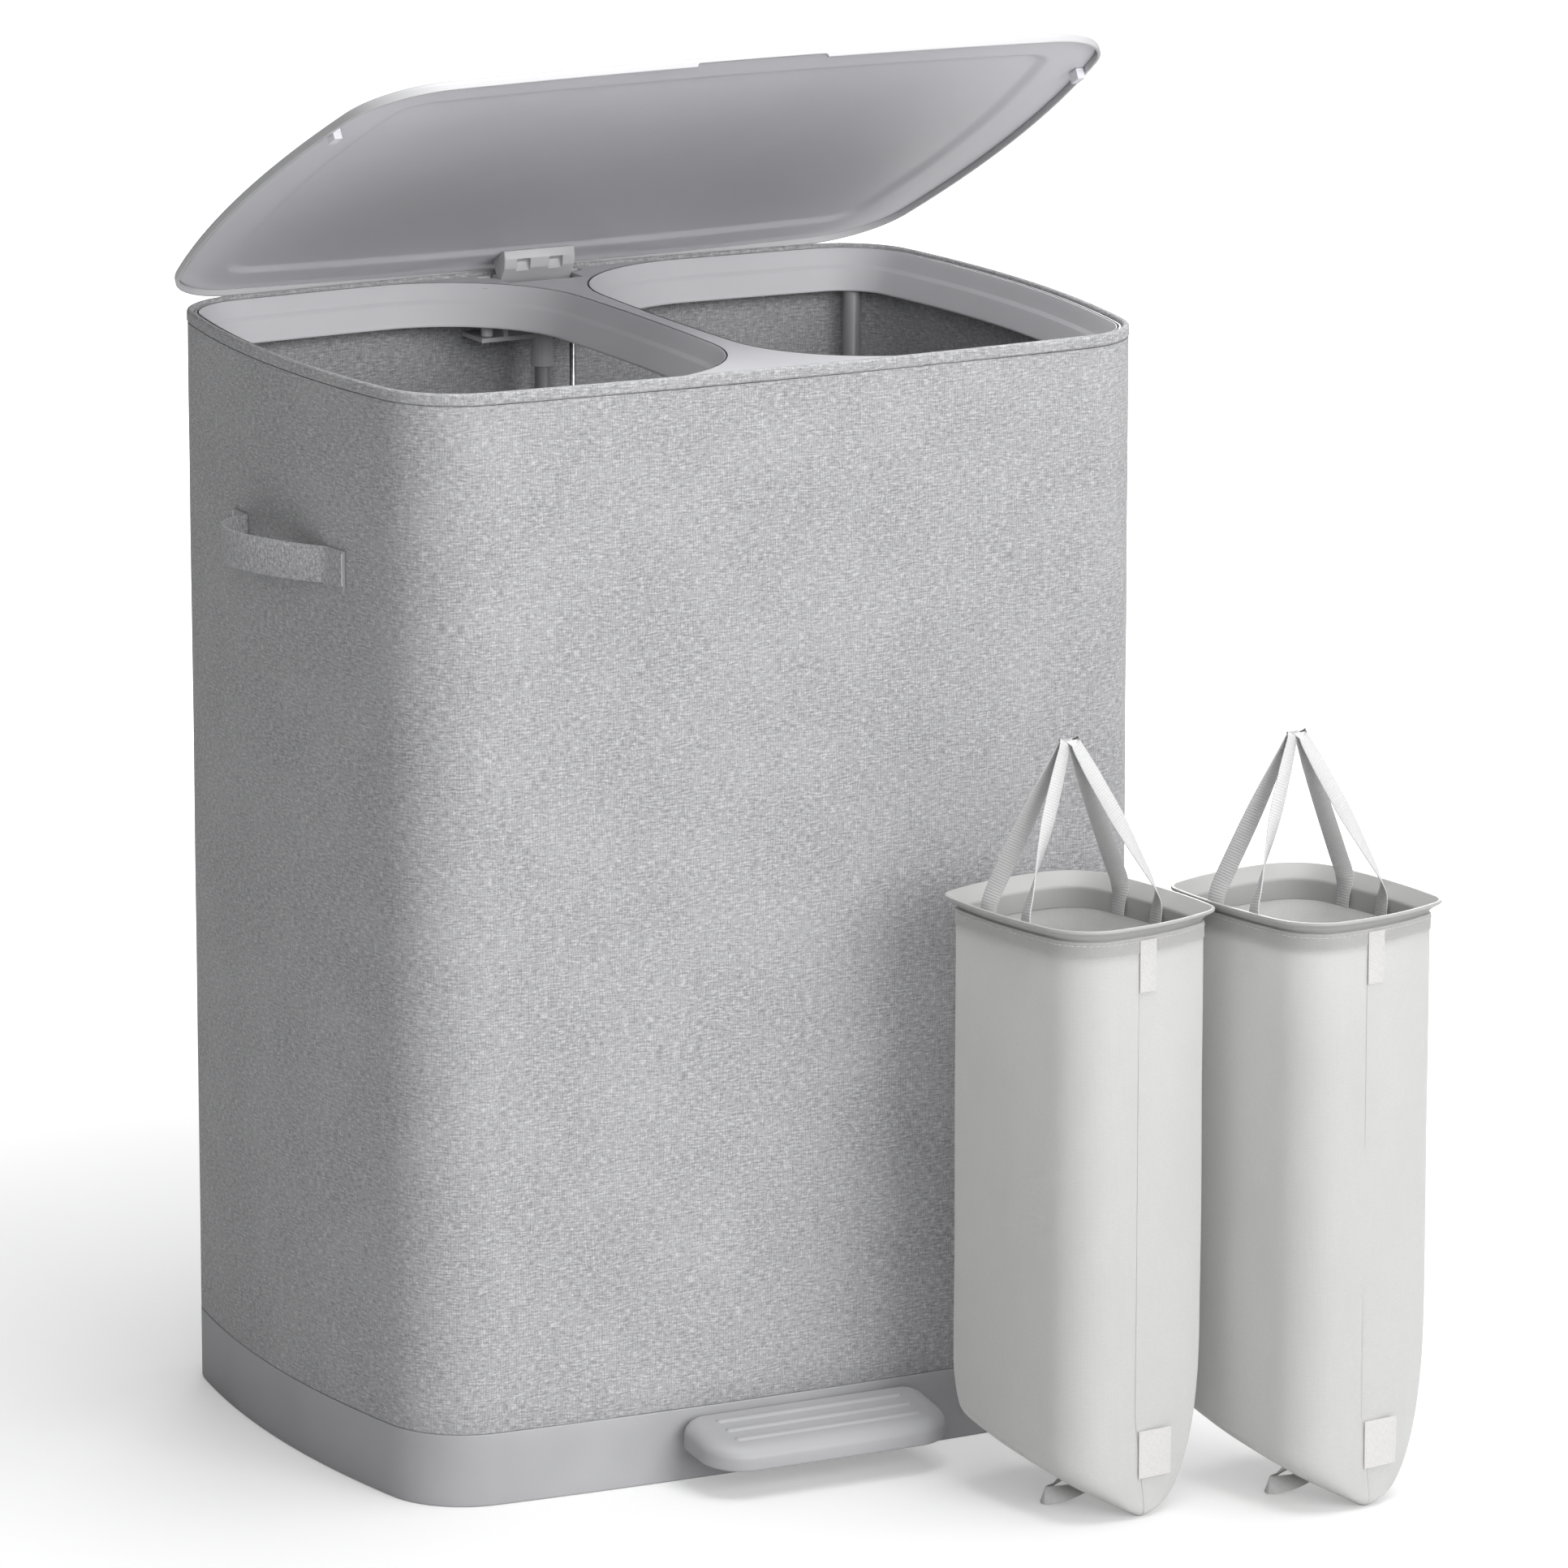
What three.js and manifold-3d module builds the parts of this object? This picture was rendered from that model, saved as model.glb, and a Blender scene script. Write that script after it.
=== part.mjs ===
// Pedal laundry hamper with two compartments, and the two liner bags that stand beside it.
// Millimetres, +Z up, front along -Y, origin on the floor under the middle of the hamper.
// The lid is drawn closed inside a hinged group, and the group is turned to the rest angle.

import * as THREE from 'three';
import { mergeVertices } from 'three/addons/utils/BufferGeometryUtils.js';
import Module from 'manifold-3d';

const wasm = await Module();
wasm.setup();

// Driving dimensions of the hamper
const bodyWidth = 492;
const bodyDepth = 357;
const rimHeight = 640;
const frontRadius = 2900;
const sideRadius = 758;
const cornerRadius = 50;
const baseHeight = 42.5;
const dividerWidth = 12;

// Running gaps and overruns shared by all pieces
const seatGap = 0.3;
const runGap = 1.2;
const overrun = 1;

// How finely round outlines are drawn
const arcSteps = 6;
const bagArcSteps = 4;
const filletSteps = 5;
const roundSteps = 16;
const hubSteps = 14;
const patchSteps = 3;

// Base moulding and the cover under it
const baseWall = 3;
const baseEdge = 1.2;
const deckTop = 40.5;
const deckThickness = 2.5;
const upstandHeight = 14;
const upstandWall = 2.5;
const coverThickness = 2.4;

// Fabric sleeve, its bound rim and its carry handles
const sleeveWall = 3;
const hemHeight = 7;
const hemProud = 0.4;
const webbingWidth = 21;
const webbingThickness = 1.6;
const handleDrop = 109.5;
const handleY = -22.5;
const handleHalfSpan = 50.5;
const handleTab = 20;
const handleBulge = 25;
const handleSkewShare = 0.62;
const handleFullnessShare = 0.8;
const handleSteps = 14;

// Top frame with its two collared openings
const frameDrop = 2;
const framePlate = 2.4;
const frameGap = 1;
const frameSkirt = 26;
const frameWall = 2;
const openingBorder = 7;
const dividerRadius = 2000;
const dividerFillet = 88;
const collarDepth = 24;
const collarRun = 13;
const collarWall = 2;
const collarStep = 1.5;
const collarStepShare = 0.45;

// Poles that carry the frame: tubes that stand in sockets below and hold pegs above
const poleDiameter = 11;
const poleWall = 1.1;
const poleInset = 13;
const poleAngle = THREE.MathUtils.degToRad(54);
const poleBossWall = 1.8;
const poleGrip = 16;
const baseSocketHeight = 22;
const postDiameter = 9;
const postInset = 28.5;

// Lid hinge and its bracket, measured from the rear of the body and from the rim
const hingeInset = 12;
const hingeDrop = 7;
const hingePinDiameter = 4;
const hingePinHalf = 32;
const hubRadius = 6.3;
const hubFrom = THREE.MathUtils.degToRad(200);
const hubTo = THREE.MathUtils.degToRad(495);
const blockWidth = 46;
const blockFront = 22;
const blockRear = 5.2;
const blockLip = 2.2;
const blockLipDraft = 1.4;
const blockChinShare = 0.78;
const blockChinRiseShare = 0.6;
const windowWidth = 9;
const windowHeight = 6;
const windowDepth = 7;
const windowSpread = 10.5;
const windowRiseShare = 0.4;
const cheekWall = 3;
const bracketThickness = 2.5;
const bracketDrop = 27;
const bracketHalf = 42;
const postSocketHeight = 17.5;
const postSocketWall = 1.5;
const bracketScrewX = 36;
const screwDiameter = 3;
const screwHeadDiameter = 6.4;
const screwHeadHeight = 2.4;
const screwBossWall = 2.2;

// Angles of the lid, from closed
const lidRestAngle = THREE.MathUtils.degToRad(28);
const lidTravel = THREE.MathUtils.degToRad(70);

// Lid shell, liner and buffers
const lidLift = 3.4;
const lidSkirtWall = 2.2;
const lidLinerRise = 3.5;
const lidLinerWall = 1.2;
const lidShellWall = 1.5;
const lidEdge = 3.5;
const lidCrown = 7.4;
const linerBorder = 26;
const linerSoftEdge = 9;
const linerRecess = 2.2;
const thumbWidth = 82;
const thumbDepth = 2.2;
const bufferWidth = 9;
const bufferReach = 5;
const bufferY = -110;

// Crank on the lid, and the rod that lifts it
const crankRadius = 18;
const crankClosedAngle = THREE.MathUtils.degToRad(48);
const crankPinDiameter = 3;
const crankWidth = 4;
const crankX = 12.5;
const rodX = 20.5;
const rodDiameter = 3.6;
const yokeThickness = 6;
const yokeWall = 2.3;
const yokeStem = 8;

// Pedal, its lever and the pivot inside the base. The tread's falls are for each millimetre forwards.
const pivotY = -60;
const pivotZ = 22;
const pivotPinDiameter = 6;
const pivotPinHalf = 34;
const leverThickness = 3;
const leverTop = 30;
const leverRearTop = 20;
const leverTongue = 24;
const leverWaist = 19;
const leverArm = 8;
const leverBendStart = 18;
const leverBendEnd = 52;
const leverWaistRun = 24;
const leverCrossRun = 73;
const leverHub = 12;
const bearingX = 21.5;
const bearingWall = 6;
const bearingHeight = 30;
const cupWall = 2;
const cupPlay = 2;
const cupHeight = 5;
const treadWidth = 155;
const treadReach = 50;
const treadGap = 1.8;
const treadBottom = 21.5;
const treadTop = 38.5;
const treadTopFall = 0.17;
const treadBottomFall = 0.1;
const treadCorner = 24;
const treadBackShare = 1 / 3;
const treadRearShare = 0.15;
const treadShoulder = 8;
const treadRound = 10.5;
const treadSteps = 4;
const treadInsert = 26;
const ribCount = 3;
const ribSetback = 9.5;
const ribPitch = 12;
const ribWidth = 3;
const ribHeight = 0.9;
const ribLengthShare = 0.76;

// Liner bags
const bagWidth = 114;
const bagDepth = 138;
const bagHeight = 346;
const bagEndRadius = 160;
const bagSideRadius = 330;
const bagFillet = 14;
const bagX = 114;
const bagY = -300;
const bagStepX = 122.7;
const bagStepY = -41.2;
const bagTurn = THREE.MathUtils.degToRad(10.3);
const rimWall = 1.6;
const rimFlare = 8;
const rimFlareHeight = 7.5;
const rimBendShare = 0.55;
const rimBendRiseShare = 0.45;
const rimCollar = 12;
const bagWall = 1.3;
const bagHem = 12;
const bagHemWall = 0.9;
const bagTaperLeft = 34;
const bagTaperRight = 105;
const bagTaperPower = 2.3;
const bagCornerFront = 10;
const bagCornerRear = 22;
const ridgeHalf = 2;
const ridgeRise = 26;
const bagFloor = 8;
const bagBands = 5;
const strapWidth = 10;
const strapThickness = 1;
const strapCentre = 4;
const strapSpread = 16.5;
const strapRise = 95;
const strapMeet = 4;
const strapFork = 16;
const loopLength = 27;
const loopWidth = 9;
const loopHole = 8;
const loopY = -7;
const patchThickness = 0.8;
const tabWidth = 11.5;
const tabLength = 31;
const labelWidth = 22;
const labelLength = 27;
const labelHeight = 19;

// Places that several pieces share
const halfDepth = bodyDepth / 2;
const frameTop = rimHeight - frameDrop;
const plateBottom = frameTop - framePlate;
const frameInset = sleeveWall + frameGap;
const postY = halfDepth - postInset;
const hingeY = halfDepth - hingeInset;
const hingeZ = rimHeight - hingeDrop;
const bracketTop = hingeZ - bracketDrop;
const slotHalf = blockWidth / 2 + runGap;
const slotFront = hingeY - blockFront - runGap;
const lidBottom = rimHeight + lidLift;
const linerBottom = lidBottom + lidLinerRise;
const deckBottom = deckTop - deckThickness;

// The rod's travel is that of the crank pin, and its yoke sits midway along the pin's path.
const crankOpenAngle = lidTravel - crankClosedAngle;
const crankLow = -crankRadius * Math.sin(crankClosedAngle);
const rodTravel = crankRadius * (Math.sin(crankClosedAngle) + Math.sin(crankOpenAngle));
const rodRest = crankLow + rodTravel * lidRestAngle / lidTravel;
const pinHeightAt = (angle) => crankRadius * Math.sin(angle - crankClosedAngle);
const pinNear = crankRadius * Math.cos(crankClosedAngle);
const pinLag = rodRest - pinHeightAt(lidRestAngle);
const yokeY = hingeY - (crankRadius + pinNear) / 2;
const yokeZ = hingeZ + rodRest - pinLag / 2;
const yokeSlotHalfY = (crankRadius - pinNear) / 2 + crankPinDiameter / 2 + seatGap * 2;
const yokeSlotHalfZ = pinLag / 2 + crankPinDiameter / 2 + seatGap;

// Geometry helpers

const pathArc = (centre, radius, from, to, count) => {
  const turn = THREE.MathUtils.euclideanModulo(to - from, 2 * Math.PI);
  const points = [];
  for (let i = 0; i < count; i += 1) {
    const angle = from + turn * i / count;
    const x = centre.x + radius * Math.cos(angle);
    const y = centre.y + radius * Math.sin(angle);
    points.push(new THREE.Vector2(x, y));
  }
  return points;
};

const angleFrom = (a, b) => Math.atan2(b.y - a.y, b.x - a.x);

// Centre of the fillet inside two arcs that follow each other anticlockwise
function filletCentre(a, b, fillet) {
  const ra = a.radius - fillet;
  const rb = b.radius - fillet;
  const gap = a.centre.distanceTo(b.centre);
  const along = (ra * ra - rb * rb + gap * gap) / (2 * gap);
  const aside = Math.sqrt(Math.max(ra * ra - along * along, 0));
  const unit = b.centre.clone().sub(a.centre).divideScalar(gap);
  const normal = new THREE.Vector2(-unit.y, unit.x);
  return a.centre.clone().addScaledVector(unit, along).addScaledVector(normal, aside);
}

// Closed outline of arcs joined by fillets, drawn in by an inset
function outline(sides, inset = 0) {
  const after = (i) => sides[(i + 1) % sides.length];
  const corners = sides.map((side, i) => filletCentre(side, after(i), side.fillet));
  const points = [];
  sides.forEach((side, i) => {
    const before = corners[(i + sides.length - 1) % sides.length];
    const corner = corners[i];
    const start = angleFrom(side.centre, before);
    const turn = angleFrom(side.centre, corner);
    const end = angleFrom(after(i).centre, corner);
    points.push(...pathArc(side.centre, side.radius - inset, start, turn, side.steps));
    points.push(...pathArc(corner, side.fillet - inset, turn, end, filletSteps));
  });
  return points;
}

// The four bulging sides of a rounded rectangle, from the front anticlockwise
function bulgedSides(width, depth, endRadius, flankRadius, fillet, steps) {
  const front = new THREE.Vector2(0, endRadius - depth / 2);
  const flank = new THREE.Vector2(width / 2 - flankRadius, 0);
  return [
    { centre: front, radius: endRadius, fillet, steps },
    { centre: flank, radius: flankRadius, fillet, steps },
    { centre: front.clone().negate(), radius: endRadius, fillet, steps },
    { centre: flank.clone().negate(), radius: flankRadius, fillet, steps },
  ];
}

const bodyPlan = [bodyWidth, bodyDepth, frontRadius, sideRadius, cornerRadius, arcSteps];
const bagPlan = [bagWidth, bagDepth, bagEndRadius, bagSideRadius, bagFillet, bagArcSteps];
const bodySides = bulgedSides(...bodyPlan);
const bagSides = bulgedSides(...bagPlan);
const cornerCentre = filletCentre(bodySides[0], bodySides[1], cornerRadius);

// The opening on the right: two ends and the outer side follow the body, the inner side is the divider.
function openingSides() {
  const fillet = cornerRadius - openingBorder;
  const ends = frontRadius - openingBorder;
  const flank = sideRadius - openingBorder;
  const divider = new THREE.Vector2(dividerWidth / 2 + dividerRadius, 0);
  const steps = arcSteps;
  return [
    { centre: bodySides[0].centre, radius: ends, fillet, steps },
    { centre: bodySides[1].centre, radius: flank, fillet, steps },
    { centre: bodySides[2].centre, radius: ends, fillet: dividerFillet, steps },
    { centre: divider, radius: dividerRadius, fillet: dividerFillet, steps },
  ];
}

const ringAt = (points, z) => points.map((p) => new THREE.Vector3(p.x, p.y, z));

// Skin over a stack of rings. A closed stack is a wall, an open one gets a cap at each end.
function skin(rings, closed = false) {
  const count = rings[0].length;
  const positions = [];
  const put = (a, b, c) => positions.push(...a.toArray(), ...b.toArray(), ...c.toArray());
  const bands = closed ? rings.length : rings.length - 1;
  for (let k = 0; k < bands; k += 1) {
    const low = rings[k];
    const high = rings[(k + 1) % rings.length];
    for (let i = 0; i < count; i += 1) {
      const j = (i + 1) % count;
      put(low[i], low[j], high[j]);
      put(low[i], high[j], high[i]);
    }
  }
  if (!closed) {
    const first = rings[0];
    const last = rings[rings.length - 1];
    for (let i = 1; i < count - 1; i += 1) {
      put(first[0], first[i + 1], first[i]);
      put(last[0], last[i], last[i + 1]);
    }
  }
  const geometry = new THREE.BufferGeometry();
  geometry.setAttribute('position', new THREE.Float32BufferAttribute(positions, 3));
  return geometry;
}

// A profile of [inset, height] pairs carried round an outline
const carry = (sides, profile, closed = true) => skin(
  profile.map(([inset, z]) => ringAt(outline(sides, inset), z)),
  closed,
);

function solidOf(geometry) {
  const plain = geometry.clone();
  plain.deleteAttribute('normal');
  plain.deleteAttribute('uv');
  const merged = mergeVertices(plain);
  const vertProperties = new Float32Array(merged.attributes.position.array);
  const triVerts = new Uint32Array(merged.index.array);
  return new wasm.Manifold(new wasm.Mesh({ numProp: 3, vertProperties, triVerts }));
}

function geometryOf(solid) {
  const mesh = solid.getMesh();
  const geometry = new THREE.BufferGeometry();
  geometry.setAttribute('position', new THREE.Float32BufferAttribute(mesh.vertProperties, 3));
  geometry.setIndex(new THREE.Uint32BufferAttribute(mesh.triVerts, 1));
  return geometry;
}

const join = (solids) => solids.reduce((sum, solid) => sum.add(solid));
const cut = (solid, tools) => tools.reduce((rest, tool) => rest.subtract(tool), solid);

function box(x0, x1, y0, y1, z0, z1) {
  const geometry = new THREE.BoxGeometry(x1 - x0, y1 - y0, z1 - z0);
  geometry.translate((x0 + x1) / 2, (y0 + y1) / 2, (z0 + z1) / 2);
  return solidOf(geometry);
}

function upright(diameter, x, y, z0, z1, steps = roundSteps) {
  const geometry = new THREE.CylinderGeometry(diameter / 2, diameter / 2, z1 - z0, steps);
  geometry.rotateX(Math.PI / 2);
  geometry.translate(x, y, (z0 + z1) / 2);
  return solidOf(geometry);
}

function crossbar(diameter, x0, x1, y, z, steps = roundSteps) {
  const geometry = new THREE.CylinderGeometry(diameter / 2, diameter / 2, x1 - x0, steps);
  geometry.rotateZ(Math.PI / 2);
  geometry.translate((x0 + x1) / 2, y, z);
  return solidOf(geometry);
}

// An outline seen from above, extruded upwards
function prism(points, z0, z1) {
  const shape = new THREE.Shape(points);
  const geometry = new THREE.ExtrudeGeometry(shape, { depth: z1 - z0, bevelEnabled: false });
  geometry.translate(0, 0, z0);
  return solidOf(geometry);
}

// An outline of [y, z] points seen from the side, extruded along X
function sideProfile(points, x0, x1) {
  const shape = new THREE.Shape(points.map(([y, z]) => new THREE.Vector2(y, z)));
  const geometry = new THREE.ExtrudeGeometry(shape, { depth: x1 - x0, bevelEnabled: false });
  const axes = [new THREE.Vector3(0, 1, 0), new THREE.Vector3(0, 0, 1), new THREE.Vector3(1, 0, 0)];
  geometry.applyMatrix4(new THREE.Matrix4().makeBasis(...axes));
  geometry.translate(x0, 0, 0);
  return solidOf(geometry);
}

const group = new THREE.Group();

function place(parent, name, shape, colour, roughness, metalness = 0) {
  const geometry = shape.isBufferGeometry ? shape : geometryOf(shape);
  const material = new THREE.MeshStandardMaterial({ color: colour, roughness, metalness });
  const mesh = new THREE.Mesh(geometry, material);
  mesh.name = name;
  parent.add(mesh);
}

// Colours of the finishes
const paleGrey = 0xc9c9cc;
const midGrey = 0xb1b1b3;
const linerGrey = 0xa3a2a7;
const whiteGrey = 0xdededf;
const fabricGrey = 0xb4b4b7;
const tubeGrey = 0x8a8a8c;
const steel = 0xb8b8ba;
const bagWhite = 0xdadada;
const rimGrey = 0xadadac;

// Places of the four corner poles
const poleReach = cornerRadius - poleInset;
const poleX = cornerCentre.x + poleReach * Math.cos(poleAngle);
const poleY = -cornerCentre.y + poleReach * Math.sin(poleAngle);
const poles = [
  ['pole_front_left', -poleX, -poleY],
  ['pole_front_right', poleX, -poleY],
  ['pole_rear_left', -poleX, poleY],
  ['pole_rear_right', poleX, poleY],
];
const poleBore = poleDiameter + seatGap * 2;
const poleBoss = poleBore + poleBossWall * 2;
const poleInside = poleDiameter - poleWall * 2;
const poleSeat = frameTop - collarDepth;
const poleTop = poleSeat - seatGap;

// Base moulding: outer wall, deck, the upstand inside the sleeve and a socket for each pole
function baseShell() {
  const ledge = sleeveWall + seatGap;
  const profile = [
    [baseWall, deckBottom],
    [baseWall, 0],
    [baseEdge, 0],
    [0, baseEdge],
    [0, baseHeight - baseEdge / 2],
    [baseEdge / 2, baseHeight],
    [ledge, baseHeight],
    [ledge, baseHeight + upstandHeight],
    [ledge + upstandWall, baseHeight + upstandHeight],
    [ledge + upstandWall, deckTop],
  ];
  const shell = solidOf(carry(bodySides, profile, false));
  const socketTop = deckTop + baseSocketHeight;
  const feet = poles.map(([, x, y]) => [poleBore, x, y]);
  feet.push([postDiameter + seatGap * 2, 0, postY]);
  const sockets = feet.map(
    ([bore, x, y]) => upright(bore + poleBossWall * 2, x, y, deckBottom, socketTop),
  );
  const bores = feet.map(([bore, x, y]) => upright(bore, x, y, deckTop, socketTop + overrun));
  const leverDrop = (leverArmLength) => leverArmLength * pedalTravel;
  const wallArm = pivotY + halfDepth;
  const restShare = lidRestAngle / lidTravel;
  const slotTop = leverTop + leverDrop(wallArm) * restShare + runGap;
  const slotBottom = leverTop - leverThickness - leverDrop(wallArm) * (1 - restShare) - runGap;
  const slotX = leverTongue + runGap;
  const slotInside = -halfDepth + baseWall + overrun * 2;
  const pedalSlot = box(-slotX, slotX, -halfDepth - overrun, slotInside, slotBottom, slotTop);
  const rodHole = upright(rodDiameter + runGap * 2, rodX, yokeY, deckBottom - overrun, deckTop + overrun);
  return cut(join([shell, ...sockets]), [...bores, pedalSlot, rodHole]);
}

// Angle through which the pedal turns while the lid goes from closed to fully open
const pedalTravel = rodTravel / (yokeY - pivotY);

// Cover under the base, with the two bearings of the pedal pivot
function bottomCover() {
  const inset = baseWall + seatGap;
  const plate = solidOf(carry(bodySides, [[inset, 0], [inset, coverThickness]], false));
  const half = leverHub / 2 + bearingWall / 2;
  const bearings = [-1, 1].map((side) => {
    const x0 = side > 0 ? bearingX : -bearingX - bearingWall;
    return box(x0, x0 + bearingWall, pivotY - half, pivotY + half, coverThickness - overrun, bearingHeight);
  });
  const reach = bearingX + bearingWall + overrun;
  const bore = crossbar(pivotPinDiameter + seatGap * 2, -reach, reach, pivotY, pivotZ);
  return cut(join([plate, ...bearings]), [bore]);
}

// Sleeve of fabric over board, and the bound hem round its rim
function sleeve() {
  const low = baseHeight + seatGap;
  const high = rimHeight - hemHeight - seatGap;
  return carry(bodySides, [[0, low], [0, high], [sleeveWall, high], [sleeveWall, low]]);
}

function sleeveHem() {
  const low = rimHeight - hemHeight;
  const inner = sleeveWall + hemProud;
  const middle = (inner - hemProud) / 2;
  return carry(bodySides, [
    [-hemProud, low],
    [-hemProud, rimHeight - hemHeight / 3],
    [middle / 2, rimHeight],
    [inner - middle / 2, rimHeight],
    [inner, rimHeight - hemHeight / 3],
    [inner, low],
  ]);
}

// Half width of the body at a depth, out on the bulge of its side
const flankAt = (y) => bodyWidth / 2 - sideRadius + Math.sqrt(sideRadius * sideRadius - y * y);

// Carry handle: webbing that lies on the sleeve at both ends and bows outwards between them,
// most of all near its rear end
function carryHandle(side) {
  const offset = seatGap + webbingThickness / 2;
  const seat = (y) => new THREE.Vector2(flankAt(y) + offset, y);
  const rear = handleY + handleHalfSpan;
  const path = [seat(rear + handleTab), seat(rear + webbingThickness), seat(rear)];
  for (let i = 1; i < handleSteps; i += 1) {
    const share = (i / handleSteps) ** 2;
    const along = share * (3 - i / handleSteps) / 2;
    const rise = Math.sin(Math.PI * along ** handleSkewShare) ** handleFullnessShare;
    const point = seat(rear - handleHalfSpan * 2 * along);
    path.push(point.setX(point.x + handleBulge * rise));
  }
  const front = handleY - handleHalfSpan;
  path.push(seat(front), seat(front - webbingThickness), seat(front - handleTab));
  const low = rimHeight - handleDrop - webbingWidth / 2;
  const high = low + webbingWidth;
  const rings = path.map((point, i) => {
    const ahead = path[Math.min(i + 1, path.length - 1)];
    const behind = path[Math.max(i - 1, 0)];
    const along = ahead.clone().sub(behind).normalize();
    const out = new THREE.Vector2(-along.y, along.x).multiplyScalar(webbingThickness / 2);
    const inner = point.clone().sub(out);
    const outer = point.clone().add(out);
    const corners = [[inner, low], [inner, high], [outer, high], [outer, low]];
    const ring = corners.map(([p, z]) => new THREE.Vector3(side * p.x, p.y, z));
    return side > 0 ? ring.reverse() : ring;
  });
  return skin(rings);
}

// Surface of a collar as [inset, height] pairs from the top down
function collarSurface(offset, top) {
  const stepZ = frameTop - collarDepth * collarStepShare;
  const stepInset = collarRun * collarStepShare;
  return [
    [-offset, top],
    [stepInset - collarStep / 2 - offset, stepZ + collarStep / 2],
    [stepInset + collarStep / 2 - offset, stepZ - collarStep / 2],
    [collarRun - offset, frameTop - collarDepth],
  ];
}

// Solid inside one collar, used to cut the opening through the frame
function openingVoid() {
  const surface = collarSurface(0, frameTop);
  const through = [surface[0][0], frameTop + overrun];
  const below = [collarRun, frameTop - collarDepth - overrun];
  return solidOf(carry(openingSides(), [below, ...surface.reverse(), through], false));
}

function mirrored(solid) {
  const geometry = geometryOf(solid);
  geometry.scale(-1, 1, 1);
  const index = geometry.index.array;
  for (let i = 0; i < index.length; i += 3) {
    [index[i], index[i + 1]] = [index[i + 1], index[i]];
  }
  return solidOf(geometry);
}

const bothSides = (solid) => solid.add(mirrored(solid));

// Pole: a tube from the deck of the base up to its seat under the frame
function pole(x, y) {
  const low = deckTop + seatGap;
  const tube = upright(poleDiameter, x, y, low, poleTop);
  return tube.subtract(upright(poleInside, x, y, low - overrun, poleTop + overrun));
}

// Top frame: plate, outer skirt, two stepped collars, a boss and a peg for each pole, the hinge slot
function topFrame() {
  const plate = solidOf(carry(bodySides, [[frameInset, plateBottom], [frameInset, frameTop]], false));
  const skirtLow = frameTop - frameSkirt;
  const skirtIn = frameInset + frameWall;
  const skirtHigh = frameTop - framePlate / 2;
  const skirt = solidOf(carry(bodySides, [
    [frameInset, skirtLow],
    [frameInset, skirtHigh],
    [skirtIn, skirtHigh],
    [skirtIn, skirtLow],
  ]));
  const collar = solidOf(carry(openingSides(), collarSurface(collarWall, skirtHigh).reverse(), false));
  const bosses = poles.map(([, x, y]) => upright(poleBoss, x, y, poleSeat, plateBottom));
  const peg = poleInside - seatGap * 2;
  const pegs = poles.map(([, x, y]) => upright(peg, x, y, poleSeat - poleGrip, poleSeat + overrun));
  const screwBoss = screwDiameter + screwBossWall * 2;
  const screwBosses = [-1, 1].map(
    (side) => upright(screwBoss, side * bracketScrewX, postY, bracketTop + seatGap, skirtHigh),
  );
  const body = join([plate, skirt, bothSides(collar), ...bosses, ...screwBosses]);
  const screwBore = screwDiameter + seatGap * 2;
  const pinLow = hingeZ - hubRadius;
  const screwBores = [-1, 1].map(
    (side) => upright(screwBore, side * bracketScrewX, postY, bracketTop, pinLow),
  );
  const above = frameTop + overrun;
  const slot = box(-slotHalf, slotHalf, slotFront, halfDepth, skirtLow - overrun, above);
  const pinHalf = hingePinDiameter / 2 + runGap;
  const notchHalf = hingePinHalf + runGap;
  const pinNotch = box(-notchHalf, notchHalf, hingeY - pinHalf, hingeY + pinHalf, pinLow, above);
  return join([cut(body, [bothSides(openingVoid()), ...screwBores, slot, pinNotch]), ...pegs]);
}

// Bracket under the rear of the frame: cheeks for the hinge pin and a socket for the middle post
function hingeBracket() {
  const low = bracketTop - bracketThickness;
  const front = slotFront + runGap;
  const rear = halfDepth - frameInset - frameWall - seatGap;
  const cheekIn = slotHalf + runGap / 2;
  const plate = box(-bracketHalf, bracketHalf, front, rear, low, bracketTop);
  const cheeks = [-1, 1].map((side) => {
    const near = side * cheekIn;
    const far = side * (cheekIn + cheekWall);
    return box(Math.min(near, far), Math.max(near, far), front, rear, low, plateBottom - seatGap);
  });
  const socketBore = postDiameter + seatGap * 2;
  const socketLow = low - postSocketHeight;
  const socket = upright(socketBore + postSocketWall * 2, 0, postY, socketLow, bracketTop);
  const holes = [
    upright(socketBore, 0, postY, socketLow - overrun, low),
    upright(rodDiameter + runGap * 2, rodX, yokeY, low - overrun, bracketTop + overrun),
    crossbar(hingePinDiameter + seatGap * 2, -bracketHalf, bracketHalf, hingeY, hingeZ),
  ];
  [-1, 1].forEach((side) => {
    const x = side * bracketScrewX;
    holes.push(upright(screwDiameter + seatGap * 2, x, postY, low - overrun, bracketTop + overrun));
  });
  return cut(join([plate, ...cheeks, socket]), holes);
}

function bracketScrew(side) {
  const under = bracketTop - bracketThickness - seatGap;
  const x = side * bracketScrewX;
  const head = upright(screwHeadDiameter, x, postY, under - screwHeadHeight, under);
  return head.add(upright(screwDiameter, x, postY, under - overrun, hingeZ - hubRadius - runGap));
}

// Lid pieces, drawn closed

const lidGrow = runGap + lidSkirtWall;
const lidTopEdge = linerBottom + lidLinerWall + seatGap + lidShellWall;

// The rounded edge of the lid as shares of its radius, inwards and down from the top
const edgeShares = [[0, 1], [0.12, 0.5], [0.45, 0.16]];

// Rings of the crowned top, from the edge inwards, each scaled about the middle of the lid
const crownShares = [[0, 0], [0.12, 0.36], [0.3, 0.66], [0.55, 0.9], [0.8, 1]];

const crownRings = (inset, base) => crownShares.map(([shrink, rise]) => {
  const points = outline(bodySides, inset).map((p) => p.multiplyScalar(1 - shrink));
  return ringAt(points, base + lidCrown * rise);
});

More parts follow.
